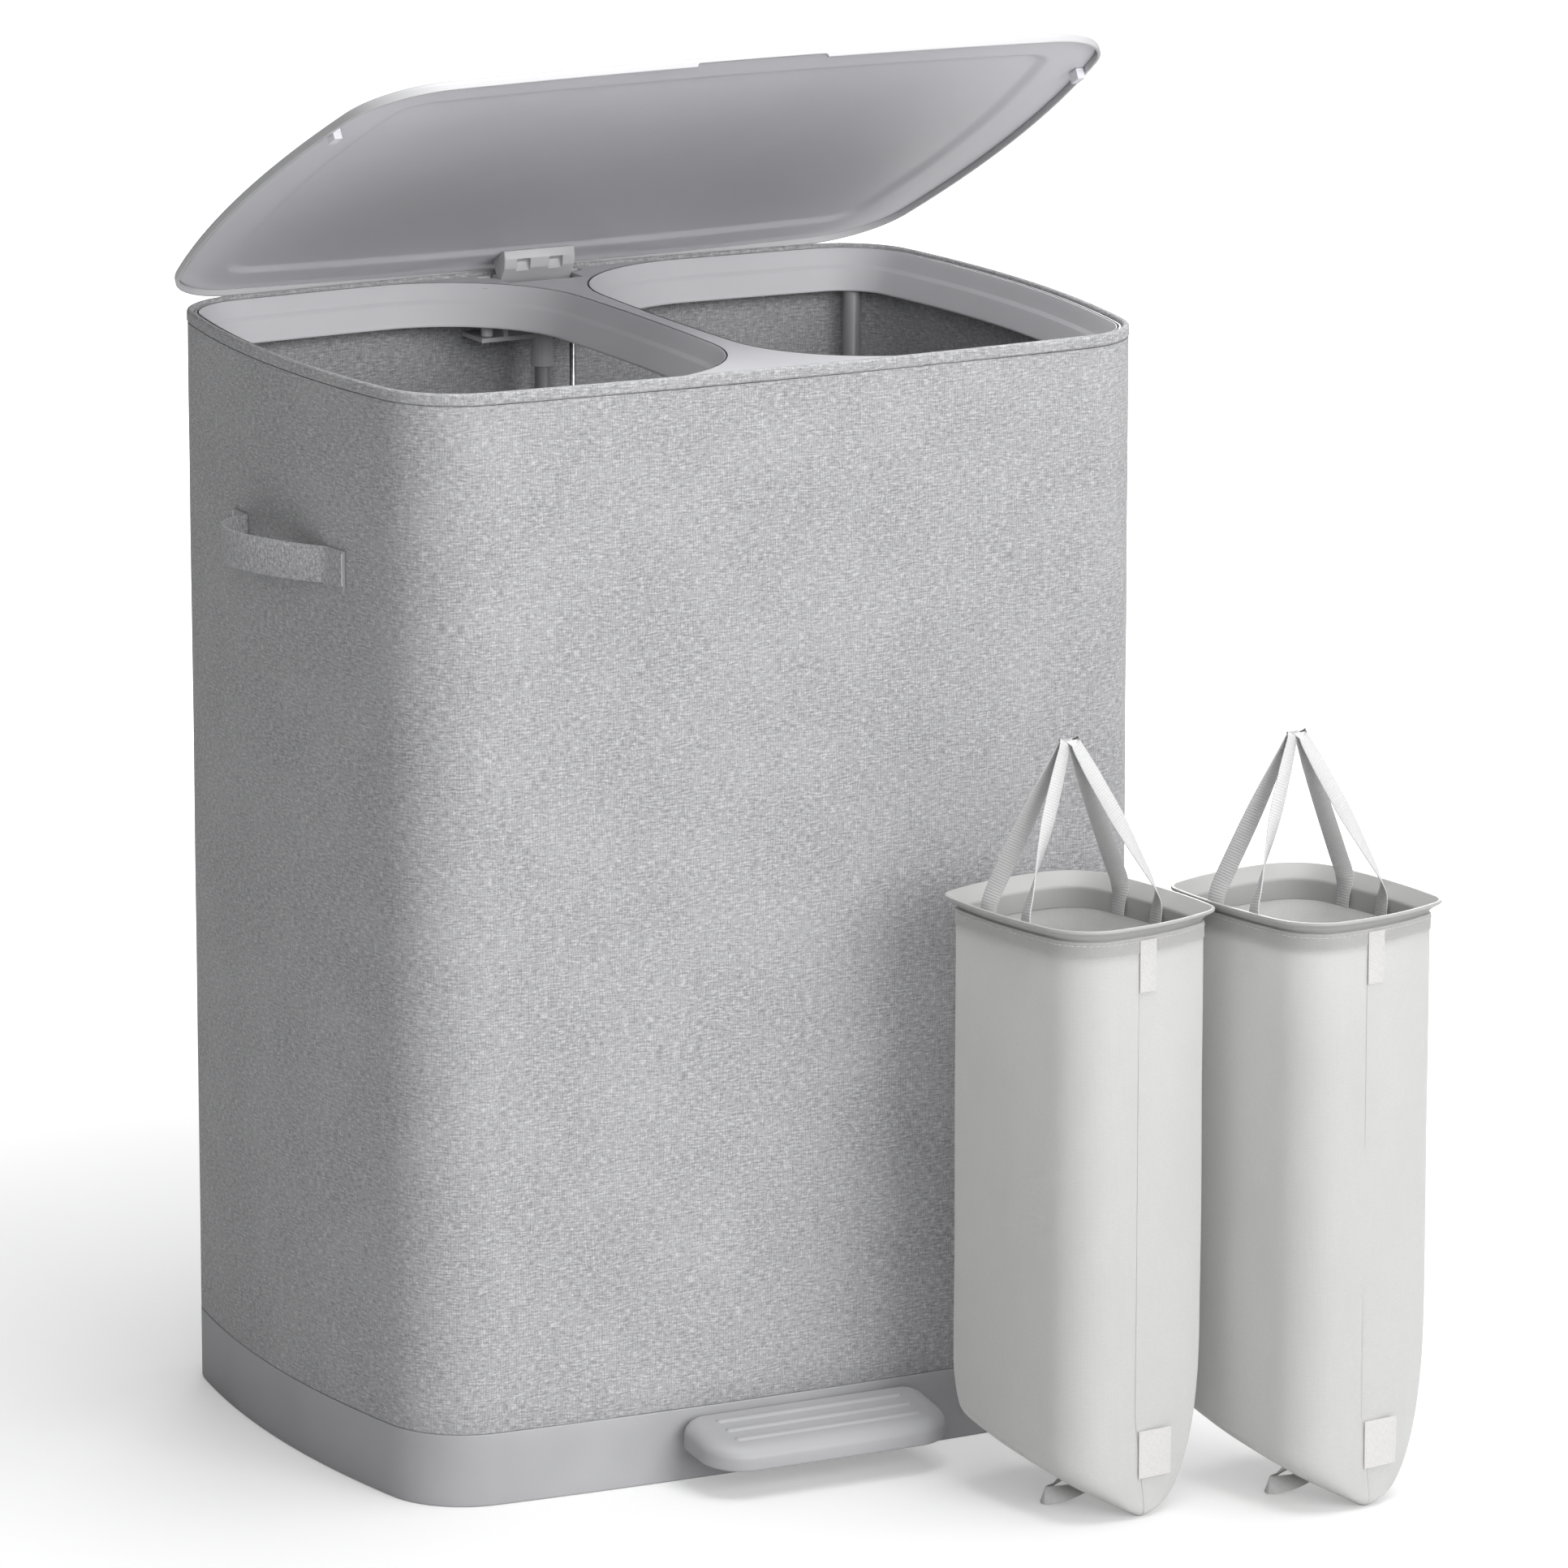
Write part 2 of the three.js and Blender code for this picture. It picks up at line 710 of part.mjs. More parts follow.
function lidShell() {
  const ring = (inset, z) => ringAt(outline(bodySides, inset), z);
  const inside = lidTopEdge - lidShellWall;
  const rings = [
    ...crownRings(lidEdge, inside).reverse(),
    ring(-runGap, inside),
    ring(-runGap, lidBottom),
    ring(-lidGrow + lidSkirtWall / 4, lidBottom),
    ring(-lidGrow, lidBottom + lidSkirtWall / 4),
    ...edgeShares.map(([shift, drop]) => ring(lidEdge * shift - lidGrow, lidTopEdge - lidEdge * drop)),
    ...crownRings(0, lidTopEdge),
  ];
  const thumbHalf = thumbWidth / 2;
  const thumbFront = -halfDepth - lidGrow - overrun;
  const thumbTop = lidBottom + thumbDepth;
  const thumb = box(-thumbHalf, thumbHalf, thumbFront, -halfDepth, lidBottom - overrun, thumbTop);
  return solidOf(skin(rings)).subtract(thumb);
}

// Inner liner of the lid, a flat border round a wide panel whose soft edge is set back
function lidLiner() {
  const edge = -runGap + seatGap;
  const panel = linerBorder + linerSoftEdge;
  const underside = [
    [edge, 0],
    [linerBorder, 0],
    [linerBorder + linerSoftEdge / 2, linerRecess / 2],
    [panel, linerRecess],
  ];
  const ring = (inset, z) => ringAt(outline(bodySides, inset), z);
  const rings = [
    ...underside.map(([inset, rise]) => ring(inset, linerBottom + rise)).reverse(),
    ...underside.map(([inset, rise]) => ring(inset, linerBottom + lidLinerWall + rise)),
  ];
  return skin(rings);
}

// Small soft buffers on the liner's edge that meet the rim when the lid is shut
function lidBuffer(side) {
  const outer = side * (flankAt(bufferY) - seatGap);
  const inner = side * (flankAt(bufferY) - bufferReach);
  const y0 = bufferY - bufferWidth / 2;
  const x0 = Math.min(outer, inner);
  const x1 = Math.max(outer, inner);
  return box(x0, x1, y0, y0 + bufferWidth, rimHeight + seatGap, linerBottom - seatGap);
}

// The round of the hub, seen from the side
function hubArc() {
  const points = [];
  for (let i = 0; i <= hubSteps; i += 1) {
    const angle = hubFrom + (hubTo - hubFrom) * i / hubSteps;
    points.push([hingeY + hubRadius * Math.cos(angle), hingeZ + hubRadius * Math.sin(angle)]);
  }
  return points;
}

// Hinge block: hub on the pin, body up to the liner, two windows, and the crank with its pin
function hingeBlock() {
  const top = linerBottom - seatGap;
  const front = hingeY - blockFront;
  const profile = [
    [front, top],
    [front + blockLipDraft, hingeZ + hubRadius + blockLip],
    [hingeY - blockFront * blockChinShare, hingeZ + hubRadius * blockChinRiseShare],
    ...hubArc(),
    [hingeY - blockRear, top],
  ];
  const body = sideProfile(profile, -blockWidth / 2, blockWidth / 2);
  const low = hingeZ + hubRadius * windowRiseShare;
  const windows = [-1, 1].map((side) => {
    const x0 = side * windowSpread - windowWidth / 2;
    return box(x0, x0 + windowWidth, front - overrun, front + windowDepth, low, low + windowHeight);
  });
  const pinY = hingeY - crankRadius * Math.cos(crankClosedAngle);
  const pinZ = hingeZ - crankRadius * Math.sin(crankClosedAngle);
  const across = [Math.sin(crankClosedAngle), -Math.cos(crankClosedAngle)];
  const lobe = crankPinDiameter;
  const web = sideProfile([
    [hingeY - across[0] * lobe, hingeZ - across[1] * lobe],
    [pinY - across[0] * lobe, pinZ - across[1] * lobe],
    [pinY + across[0] * lobe, pinZ + across[1] * lobe],
    [hingeY + across[0] * lobe, hingeZ + across[1] * lobe],
  ], crankX - crankWidth / 2, crankX + crankWidth / 2);
  const eye = crossbar(lobe * 2, crankX - crankWidth / 2, crankX + crankWidth / 2, pinY, pinZ);
  const pin = crossbar(crankPinDiameter, crankX, rodX + yokeThickness / 2, pinY, pinZ);
  const bore = crossbar(hingePinDiameter + seatGap * 2, -blockWidth, blockWidth, hingeY, hingeZ);
  return cut(join([body.subtract(join(windows)), web, eye, pin]), [bore]);
}

// Lifting rod and the slotted yoke on its upper end
const yokeHalfY = yokeSlotHalfY + yokeWall;
const yokeHalfZ = yokeSlotHalfZ + yokeWall;
const rodBottom = leverRearTop + seatGap;

function rodYoke() {
  const stemHalf = rodDiameter / 2 + yokeWall;
  const x0 = rodX - yokeThickness / 2;
  const x1 = rodX + yokeThickness / 2;
  const low = yokeZ - yokeHalfZ;
  const head = box(x0, x1, yokeY - yokeHalfY, yokeY + yokeHalfY, low, yokeZ + yokeHalfZ);
  const stem = box(x0, x1, yokeY - stemHalf, yokeY + stemHalf, low - yokeStem, low + overrun);
  const slotY = yokeSlotHalfY;
  const slotZ = yokeSlotHalfZ;
  const far = x1 + overrun;
  const slot = box(x0 - overrun, far, yokeY - slotY, yokeY + slotY, yokeZ - slotZ, yokeZ + slotZ);
  const bore = upright(rodDiameter + seatGap * 2, rodX, yokeY, low - yokeStem - overrun, low);
  return cut(head.add(stem), [slot, bore]);
}

const pushRod = () => upright(rodDiameter, rodX, yokeY, rodBottom, yokeZ - yokeHalfZ - seatGap);

// Pedal lever: its side profile crossed with its plan, with a hub on the pivot and a cup for the rod
function pedalLever() {
  const front = -halfDepth - runGap - treadInsert;
  const rear = yokeY + leverArm;
  const high = [
    [front, leverTop],
    [pivotY + leverBendStart, leverTop],
    [pivotY + leverBendEnd, leverRearTop],
    [rear, leverRearTop],
  ];
  const low = high.map(([y, z]) => [y, z - leverThickness]).reverse();
  const side = sideProfile([...low, ...high].reverse(), -leverTongue - overrun, rodX + leverArm + overrun);
  const waist = leverHub;
  const plan = [
    [-leverTongue, front - overrun],
    [leverTongue, front - overrun],
    [leverTongue, pivotY - leverWaistRun],
    [leverWaist, pivotY - waist],
    [leverWaist, pivotY + waist],
    [rodX + leverArm, pivotY + leverBendEnd],
    [rodX + leverArm, rear + overrun],
    [rodX - leverArm, rear + overrun],
    [rodX - leverArm, pivotY + leverCrossRun],
    [-leverWaist, pivotY + waist],
    [-leverWaist, pivotY - waist],
    [-leverTongue, pivotY - leverWaistRun],
  ].map(([x, y]) => new THREE.Vector2(x, y));
  const blank = side.intersect(prism(plan, 0, leverTop + overrun));
  const hub = crossbar(leverHub + leverThickness, -leverWaist, leverWaist, pivotY, pivotZ);
  const cupBore = rodDiameter + cupPlay;
  const cupLow = leverRearTop - leverThickness / 2;
  const cupHigh = leverRearTop + cupHeight;
  const cup = upright(cupBore + cupWall * 2, rodX, yokeY, cupLow, cupHigh);
  const bore = crossbar(pivotPinDiameter + seatGap * 2, -leverTongue, leverTongue, pivotY, pivotZ);
  const cupHollow = upright(cupBore, rodX, yokeY, leverRearTop, cupHigh + overrun);
  return cut(join([blank, hub, cup]), [bore, cupHollow]);
}

// Tread outline seen from above: straight behind, round at the front corners. An inset draws it in,
// but hardly at the rear, where the tread is square.
function treadOutline(inset) {
  const half = treadWidth / 2 - inset;
  const rear = -halfDepth - treadGap - inset * treadRearShare;
  const front = -halfDepth - runGap - treadReach + inset;
  const radius = treadCorner - inset;
  const back = radius * treadBackShare;
  const right = new THREE.Vector2(half - radius, front + radius);
  const left = new THREE.Vector2(-half + radius, front + radius);
  const rearRight = new THREE.Vector2(half - back, rear - back);
  const rearLeft = new THREE.Vector2(-half + back, rear - back);
  return [
    ...pathArc(left, radius, Math.PI, Math.PI * 1.5, filletSteps),
    new THREE.Vector2(left.x, front),
    ...pathArc(right, radius, Math.PI * 1.5, Math.PI * 2, filletSteps),
    new THREE.Vector2(half, right.y),
    ...pathArc(rearRight, back, 0, Math.PI / 2, filletSteps),
    new THREE.Vector2(rearRight.x, rear),
    ...pathArc(rearLeft, back, Math.PI / 2, Math.PI, filletSteps),
    new THREE.Vector2(-half, rearLeft.y),
  ];
}

// How far the tread falls for each millimetre towards the front, at a height
function treadFallAt(z) {
  const share = (z - treadBottom) / (treadTop - treadBottom);
  return treadBottomFall + (treadTopFall - treadBottomFall) * share;
}

// Tread: rounded block with ribs along it, sloped down to the front, and a pocket for the lever's
// tongue
function pedalTread() {
  const ring = (inset, z) => ringAt(treadOutline(inset), z);
  const shape = [ring(overrun, treadBottom), ring(0, treadBottom + overrun)];
  for (let i = 0; i <= treadSteps; i += 1) {
    const turn = Math.PI / 2 * i / treadSteps;
    const rise = treadShoulder * (Math.sin(turn) - 1);
    shape.push(ring(treadRound * (1 - Math.cos(turn)), treadTop + rise));
  }
  const block = solidOf(skin(shape));
  const ribHalf = treadWidth * ribLengthShare / 2;
  const ribs = [];
  for (let i = 0; i < ribCount; i += 1) {
    const y = -halfDepth - treadGap - ribSetback - ribPitch * i;
    ribs.push(box(-ribHalf, ribHalf, y - ribWidth, y, treadTop - overrun, treadTop + ribHeight));
  }
  const sloped = join([block, ...ribs]).warp((point) => {
    point[2] += treadFallAt(point[2]) * (point[1] + halfDepth);
  });
  const pocketFront = -halfDepth - runGap - treadInsert - seatGap;
  const x = leverTongue + seatGap;
  const low = leverTop - leverThickness - seatGap;
  const pocket = box(-x, x, pocketFront, -halfDepth, low, leverTop + seatGap);
  return sloped.subtract(pocket);
}

// Liner bag pieces, drawn about the middle of one bag

function bagRim() {
  const flareLow = bagHeight - rimFlareHeight;
  const collarLow = flareLow - rimCollar;
  const bend = rimFlare * rimBendShare;
  const bendZ = flareLow + rimFlareHeight * rimBendRiseShare;
  return carry(bagSides, [
    [rimFlare, collarLow],
    [rimFlare, flareLow],
    [bend, bendZ],
    [0, bagHeight - rimWall],
    [0, bagHeight],
    [rimWall, bagHeight],
    [bend + rimWall, bendZ],
    [rimFlare + rimWall, flareLow],
    [rimFlare + rimWall, collarLow],
  ]);
}

// Half sizes of the bag's body under its rim
const bagOuter = rimFlare - seatGap - bagWall;
const bagHalfX = bagWidth / 2 - bagOuter;
const bagHalfY = bagDepth / 2 - bagOuter;

// Half width of the body at a height. It closes to a ridge at the bottom, and the left side fills out
// lower down than the right side does.
function bagLeftAt(z) {
  const share = Math.min(1, z / bagTaperLeft);
  return ridgeHalf + (bagHalfX - ridgeHalf) * Math.sin(Math.PI / 2 * share);
}

function bagRightAt(z) {
  const empty = Math.max(0, 1 - z / bagTaperRight) ** bagTaperPower;
  return ridgeHalf + (bagHalfX - ridgeHalf) * (1 - empty) ** (1 / bagTaperPower);
}

function cornerRounding(z, radius) {
  const below = Math.max(0, radius - z);
  return radius - Math.sqrt(radius * radius - below * below);
}

// Height of the ridge, which climbs from the floor at the front to the rear
const ridgeAt = (y) => ridgeRise * (y + bagHalfY - bagCornerFront) / (bagHalfY * 2);

function bagRing(z, wall) {
  const halfX = bagHalfX - wall;
  const halfY = bagHalfY - wall;
  const left = (bagLeftAt(z) - wall) / halfX;
  const right = (bagRightAt(z) - wall) / halfX;
  const front = 1 - cornerRounding(z, bagCornerFront) / halfY;
  const rear = 1 - cornerRounding(z, bagCornerRear) / halfY;
  const climb = Math.max(0, 1 - z / bagTaperRight);
  return outline(bagSides, bagOuter + wall).map((p) => {
    const x = p.x * (p.x < 0 ? left : right);
    const y = p.y * (p.y < 0 ? front : rear);
    return new THREE.Vector3(x, y, z + ridgeAt(y) * climb);
  });
}

function bagBody() {
  const top = bagHeight - rimFlareHeight - seatGap;
  const levels = [];
  for (let i = 0; i <= bagBands; i += 1) {
    levels.push(bagFloor + (bagTaperRight - bagFloor) * (i / bagBands) ** 2);
  }
  const outer = [0, bagFloor / 3, ...levels, top].map((z) => bagRing(z, 0));
  const inner = [...levels, top].map((z) => bagRing(z, bagWall)).reverse();
  return skin([...outer, ...inner]);
}

function bagHemBand() {
  const high = bagHeight - rimFlareHeight - seatGap;
  const inner = bagOuter - seatGap;
  const outer = inner - bagHemWall;
  const low = high - bagHem;
  return carry(bagSides, [[outer, low], [outer, high], [inner, high], [inner, low]]);
}

// Strap: two legs that rise from inside the rim, lean to the middle and meet
function bagStrap(side) {
  const footX = bagWidth / 2 - rimFlare - rimWall - seatGap - strapThickness;
  const reach = strapCentre + strapSpread + strapWidth;
  const sag = bagSideRadius - Math.sqrt(bagSideRadius * bagSideRadius - reach * reach);
  const x0 = footX - sag;
  const footLow = bagHeight - rimFlareHeight - rimCollar;
  const lean = Math.atan2(x0 - strapMeet, strapRise);
  const length = strapRise / Math.cos(lean);
  const half = strapWidth / 2;
  const legs = [
    [-strapSpread - half, 0],
    [-strapSpread + half, 0],
    [0, length - strapFork],
    [strapSpread - half, 0],
    [strapSpread + half, 0],
    [half, length],
    [-half, length],
  ];
  const sheet = geometryOf(sideProfile(legs, 0, strapThickness));
  sheet.rotateY(-lean);
  sheet.translate(x0, strapCentre, bagHeight);
  const footHigh = bagHeight + strapThickness / 2;
  const feet = [-1, 1].map((end) => {
    const y0 = strapCentre + end * strapSpread - half;
    return box(x0, x0 + strapThickness, y0, y0 + strapWidth, footLow, footHigh);
  });
  const strap = join([solidOf(sheet), ...feet]);
  return side > 0 ? strap : mirrored(strap);
}

// Webbing loop sewn to the ridge, which hangs to the floor beside it
function bottomLoop() {
  const radius = (loopWidth + loopHole) / 2;
  const tip = new THREE.Vector2(radius - loopLength, 0);
  const around = (r, near) => [
    new THREE.Vector2(near, -r),
    new THREE.Vector2(near, r),
    ...pathArc(tip, r, Math.PI / 2, Math.PI * 1.5, filletSteps),
    new THREE.Vector2(tip.x, -r),
  ];
  const hole = prism(around(loopHole / 2, -loopWidth / 2), -overrun, strapThickness + overrun);
  const flat = geometryOf(prism(around(radius, 0), 0, strapThickness).subtract(hole));
  const drop = ridgeAt(loopY - radius) - seatGap - strapThickness;
  flat.rotateY(-Math.asin(drop / loopLength));
  flat.translate(-ridgeHalf - seatGap, loopY, drop);
  return flat;
}

// Patch sewn on the front to the right of the seam, bent with the cloth
function sewnPatch(width, low, high) {
  const spread = bagHalfX / bagRightAt(high);
  const radius = bagEndRadius - bagOuter;
  const back = [];
  for (let i = 0; i <= patchSteps; i += 1) {
    const x = width * i / patchSteps;
    const recess = radius - Math.sqrt(radius * radius - (x * spread) ** 2);
    back.push(new THREE.Vector2(x, recess - bagHalfY - seatGap));
  }
  const face = back.map((p) => new THREE.Vector2(p.x, p.y - patchThickness)).reverse();
  return prism([...back, ...face], low, high);
}

const tabTop = bagHeight - rimFlareHeight - bagHem - seatGap * 2;
const bagTab = () => sewnPatch(tabWidth, tabTop - tabLength, tabTop);
const bagLabel = () => sewnPatch(labelWidth, labelHeight, labelHeight + labelLength);

// The hamper
place(group, 'base_shell', baseShell(), paleGrey, 0.5);
place(group, 'bottom_cover', bottomCover(), midGrey, 0.6);
place(group, 'fabric_sleeve', sleeve(), fabricGrey, 0.95);
place(group, 'sleeve_hem', sleeveHem(), fabricGrey, 0.95);
place(group, 'top_frame', topFrame(), midGrey, 0.45);
place(group, 'hinge_bracket', hingeBracket(), paleGrey, 0.45);
place(group, 'bracket_screw_left', bracketScrew(-1), steel, 0.3, 1);
place(group, 'bracket_screw_right', bracketScrew(1), steel, 0.3, 1);
poles.forEach(([name, x, y]) => {
  place(group, name, pole(x, y), tubeGrey, 0.4, 0.6);
});
const postTop = bracketTop - bracketThickness - seatGap;
const middlePost = upright(postDiameter, 0, postY, deckTop + seatGap, postTop);
place(group, 'middle_post', middlePost, tubeGrey, 0.4, 0.6);
const hingePin = crossbar(hingePinDiameter, -hingePinHalf, hingePinHalf, hingeY, hingeZ);
place(group, 'hinge_pin', hingePin, steel, 0.25, 1);
place(group, 'carry_handle_left', carryHandle(-1), fabricGrey, 0.9);
place(group, 'carry_handle_right', carryHandle(1), fabricGrey, 0.9);

// The lid, turned about the hinge pin
const hinge = new THREE.Group();
hinge.position.set(0, hingeY, hingeZ);
hinge.rotation.x = -lidRestAngle;
const lid = new THREE.Group();
lid.position.set(0, -hingeY, -hingeZ);
hinge.add(lid);
group.add(hinge);
place(lid, 'lid_shell', lidShell(), whiteGrey, 0.4);
place(lid, 'lid_liner', lidLiner(), linerGrey, 0.5);
place(lid, 'lid_buffer_left', lidBuffer(-1), linerGrey, 0.8);
place(lid, 'lid_buffer_right', lidBuffer(1), linerGrey, 0.8);
place(lid, 'hinge_block', hingeBlock(), paleGrey, 0.4);

// The lifting rod and the pedal
place(group, 'push_rod', pushRod(), steel, 0.25, 1);
place(group, 'rod_yoke', rodYoke(), paleGrey, 0.5);
place(group, 'pedal_lever', pedalLever(), steel, 0.4, 1);
place(group, 'pedal_tread', pedalTread(), paleGrey, 0.45);
const pivotPin = crossbar(pivotPinDiameter, -pivotPinHalf, pivotPinHalf, pivotY, pivotZ);
place(group, 'pedal_pivot_pin', pivotPin, steel, 0.25, 1);

// The two liner bags
['bag_a', 'bag_b'].forEach((name, i) => {
  const bag = new THREE.Group();
  bag.position.set(bagX + bagStepX * i, bagY + bagStepY * i, 0);
  bag.rotation.z = bagTurn;
  group.add(bag);
  place(bag, `${name}_rim`, bagRim(), rimGrey, 0.45);
  place(bag, `${name}_body`, bagBody(), bagWhite, 0.85);
  place(bag, `${name}_hem`, bagHemBand(), bagWhite, 0.85);
  place(bag, `${name}_strap_left`, bagStrap(-1), bagWhite, 0.8);
  place(bag, `${name}_strap_right`, bagStrap(1), bagWhite, 0.8);
  place(bag, `${name}_loop`, bottomLoop(), bagWhite, 0.8);
  place(bag, `${name}_tab`, bagTab(), bagWhite, 0.8);
  place(bag, `${name}_label`, bagLabel(), bagWhite, 0.8);
});

export default group;
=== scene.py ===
import math

import bmesh
import bpy
from bpy.props import FloatProperty, FloatVectorProperty, PointerProperty
from mathutils import Matrix, Vector, noise
from mathutils.geometry import delaunay_2d_cdt


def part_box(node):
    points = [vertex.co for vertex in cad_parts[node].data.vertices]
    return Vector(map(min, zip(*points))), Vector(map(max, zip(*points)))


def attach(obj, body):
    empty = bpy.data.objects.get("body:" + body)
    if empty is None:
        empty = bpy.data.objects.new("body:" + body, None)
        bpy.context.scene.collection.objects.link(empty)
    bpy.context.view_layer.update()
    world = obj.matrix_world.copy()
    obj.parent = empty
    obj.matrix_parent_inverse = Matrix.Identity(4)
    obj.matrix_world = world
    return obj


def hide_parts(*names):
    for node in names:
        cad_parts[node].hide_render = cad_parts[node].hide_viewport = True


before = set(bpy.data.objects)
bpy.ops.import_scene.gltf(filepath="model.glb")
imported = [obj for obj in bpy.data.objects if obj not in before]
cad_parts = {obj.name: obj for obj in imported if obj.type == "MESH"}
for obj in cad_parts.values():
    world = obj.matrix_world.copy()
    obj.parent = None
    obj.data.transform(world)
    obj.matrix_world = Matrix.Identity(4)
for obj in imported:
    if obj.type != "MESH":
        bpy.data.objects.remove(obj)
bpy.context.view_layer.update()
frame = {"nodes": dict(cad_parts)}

bl_info = {
    "name": "Pedal laundry hamper with two bins",
    "version": (1, 0, 0),
    "blender": (4, 5, 0),
    "location": "View3D > Sidebar > Hamper",
    "description": "Builds the hamper, its lid, pedal and two liner bags on the packed frame",
    "category": "Object",
}

MM = 0.001

# Fineness of the meshes
SIDE_STEPS = 40
FILLET_STEPS = 14
ROUND_STEPS = 4
ROD_STEPS = 40


def linear(text):
    """Linear colour, with alpha, of an sRGB hex value."""
    channels = [int(text[i:i + 2], 16) / 255 for i in (0, 2, 4)]
    return (*[c / 12.92 if c <= 0.04045 else ((c + 0.055) / 1.055) ** 2.4 for c in channels], 1.0)


def length(name, description, default):
    return FloatProperty(name=name, description=description, default=default,
                         min=0.0, subtype="DISTANCE", unit="LENGTH")


def colour(name, description, text):
    return FloatVectorProperty(name=name, description=description, default=linear(text),
                               size=4, min=0.0, max=1.0, subtype="COLOR")


base_low, base_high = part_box("base_shell")
hem_low, hem_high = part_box("sleeve_hem")
rod_low, rod_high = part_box("push_rod")
rim_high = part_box("bag_a_rim")[1]


# Sizes and colours that a user may change

class HamperSizes(bpy.types.PropertyGroup):
    width: length("Width", "Width of the hamper across its bulging flanks", base_high[0] - base_low[0])
    depth: length("Depth", "Depth of the hamper at the middle", base_high[1] - base_low[1])
    rim_height: length("Rim height", "Height of the sleeve's rim", hem_high[2])
    front_radius: length("Front radius", "Radius of the bulging front and back", 2.9)
    flank_radius: length("Flank radius", "Radius of the bulging flanks", 0.758)
    corner_radius: length("Corner radius", "Radius of the four upright corners", 0.050)
    base_height: length("Base height", "Height of the base moulding", 0.0425)
    sleeve_wall: length("Sleeve wall", "Thickness of the lined sleeve", 0.003)
    divider_width: length("Divider width", "Width of the divider at the middle of the frame", 0.012)
    lid_angle: FloatProperty(name="Lid angle", description="Angle of the lid from closed at rest",
                             default=math.radians(28), subtype="ANGLE", unit="ROTATION")


class BagSizes(bpy.types.PropertyGroup):
    width: length("Width", "Width of the bag's rim", 0.114)
    depth: length("Depth", "Depth of the bag's rim", 0.138)
    height: length("Height", "Height of the bag's rim", rim_high[2])
    strap_width: length("Strap width", "Width of the carry straps", 0.0102)
    strap_rise: length("Strap rise", "Height of the carry straps over the rim", 0.095)
    stitch_pitch: length("Stitch pitch", "Distance from one stitch of the hem to the next", 0.0036)
    turn: FloatProperty(name="Turn", description="Angle of the bags from the hamper's front",
                        default=math.radians(10.3), subtype="ANGLE", unit="ROTATION")


class HamperColours(bpy.types.PropertyGroup):
    sleeve: colour("Sleeve fabric", "Main colour of the woven sleeve", "A3A3A5")
    sleeve_shade: colour("Sleeve shade", "Colour of the darker threads", "808083")
    sleeve_pale: colour("Sleeve pale threads", "Colour of the palest threads", "CACACC")
    base: colour("Base and pedal", "Colour of the moulded base and the pedal", "ADADB0")
    frame: colour("Top frame", "Colour of the top frame", "CBCBCE")
    lid: colour("Lid", "Colour of the lid's outer shell", "C6C6C8")
    liner: colour("Lid liner", "Colour of the lid's inner liner", "DFDEE3")
    hinge: colour("Hinge block", "Colour of the hinge block", "C2C2C4")
    pole: colour("Poles", "Colour of the enamelled poles", "8F8F91")
    steel: colour("Steel", "Colour of the zinc-plated steel", "B4B4B6")
    bag: colour("Bag cloth", "Colour of the liner bags", "CCCCCA")
    bag_rim: colour("Bag rim", "Colour of the bags' flared rims", "ADADAC")
    strap: colour("Straps", "Colour of the bags' straps", "D2D2D2")
    # Painted shade: the straps' inner side is drawn greyer than their face, standing for the shade on their
    # rear legs.
    strap_back: colour("Strap backs", "Colour of the inner side of the bags' straps", "B4B4B4")
    label: colour("Label", "Colour of the satin tape of tab and label", "D2D0D0")
    floor: colour("Floor", "Colour of the studio floor", "D4D4D4")


# Outlines and profiles

def arc(centre, radius, start, end, count):
    turn = (end - start) % math.tau
    angles = [start + turn * i / count for i in range(count)]
    return [Vector((centre.x + radius * math.cos(a), centre.y + radius * math.sin(a))) for a in angles]


def angle_from(a, b):
    return math.atan2(b.y - a.y, b.x - a.x)


def fillet_centre(a, b):
    fillet = a["fillet"]
    ra, rb = a["radius"] - fillet, b["radius"] - fillet
    apart = b["centre"] - a["centre"]
    gap = apart.length
    along = (ra * ra - rb * rb + gap * gap) / (2 * gap)
    aside = math.sqrt(max(ra * ra - along * along, 0.0))
    unit = apart / gap
    return a["centre"] + unit * along + Vector((-unit.y, unit.x)) * aside


def outline(sides, inset=0.0):
    """Closed outline of arcs joined by fillets, anticlockwise from the front, drawn in by an inset."""
    count = len(sides)
    corners = [fillet_centre(sides[i], sides[(i + 1) % count]) for i in range(count)]
    points = []
    for i, side in enumerate(sides):
        following, before, corner = sides[(i + 1) % count], corners[i - 1], corners[i]
        start, turn = angle_from(side["centre"], before), angle_from(side["centre"], corner)
        end = angle_from(following["centre"], corner)
        points += arc(side["centre"], side["radius"] - inset, start, turn, SIDE_STEPS)
        points += arc(corner, side["fillet"] - inset, turn, end, FILLET_STEPS)
    return points


def bulged_sides(width, depth, end_radius, flank_radius, fillet):
    front = Vector((0, end_radius - depth / 2))
    flank = Vector((width / 2 - flank_radius, 0))
    rows = ((front, end_radius), (flank, flank_radius), (-front, end_radius), (-flank, flank_radius))
    return [{"centre": centre, "radius": radius, "fillet": fillet} for centre, radius in rows]


def body_sides():
    s = bpy.context.scene.hamper_sizes
    return bulged_sides(s.width, s.depth, s.front_radius, s.flank_radius, s.corner_radius)


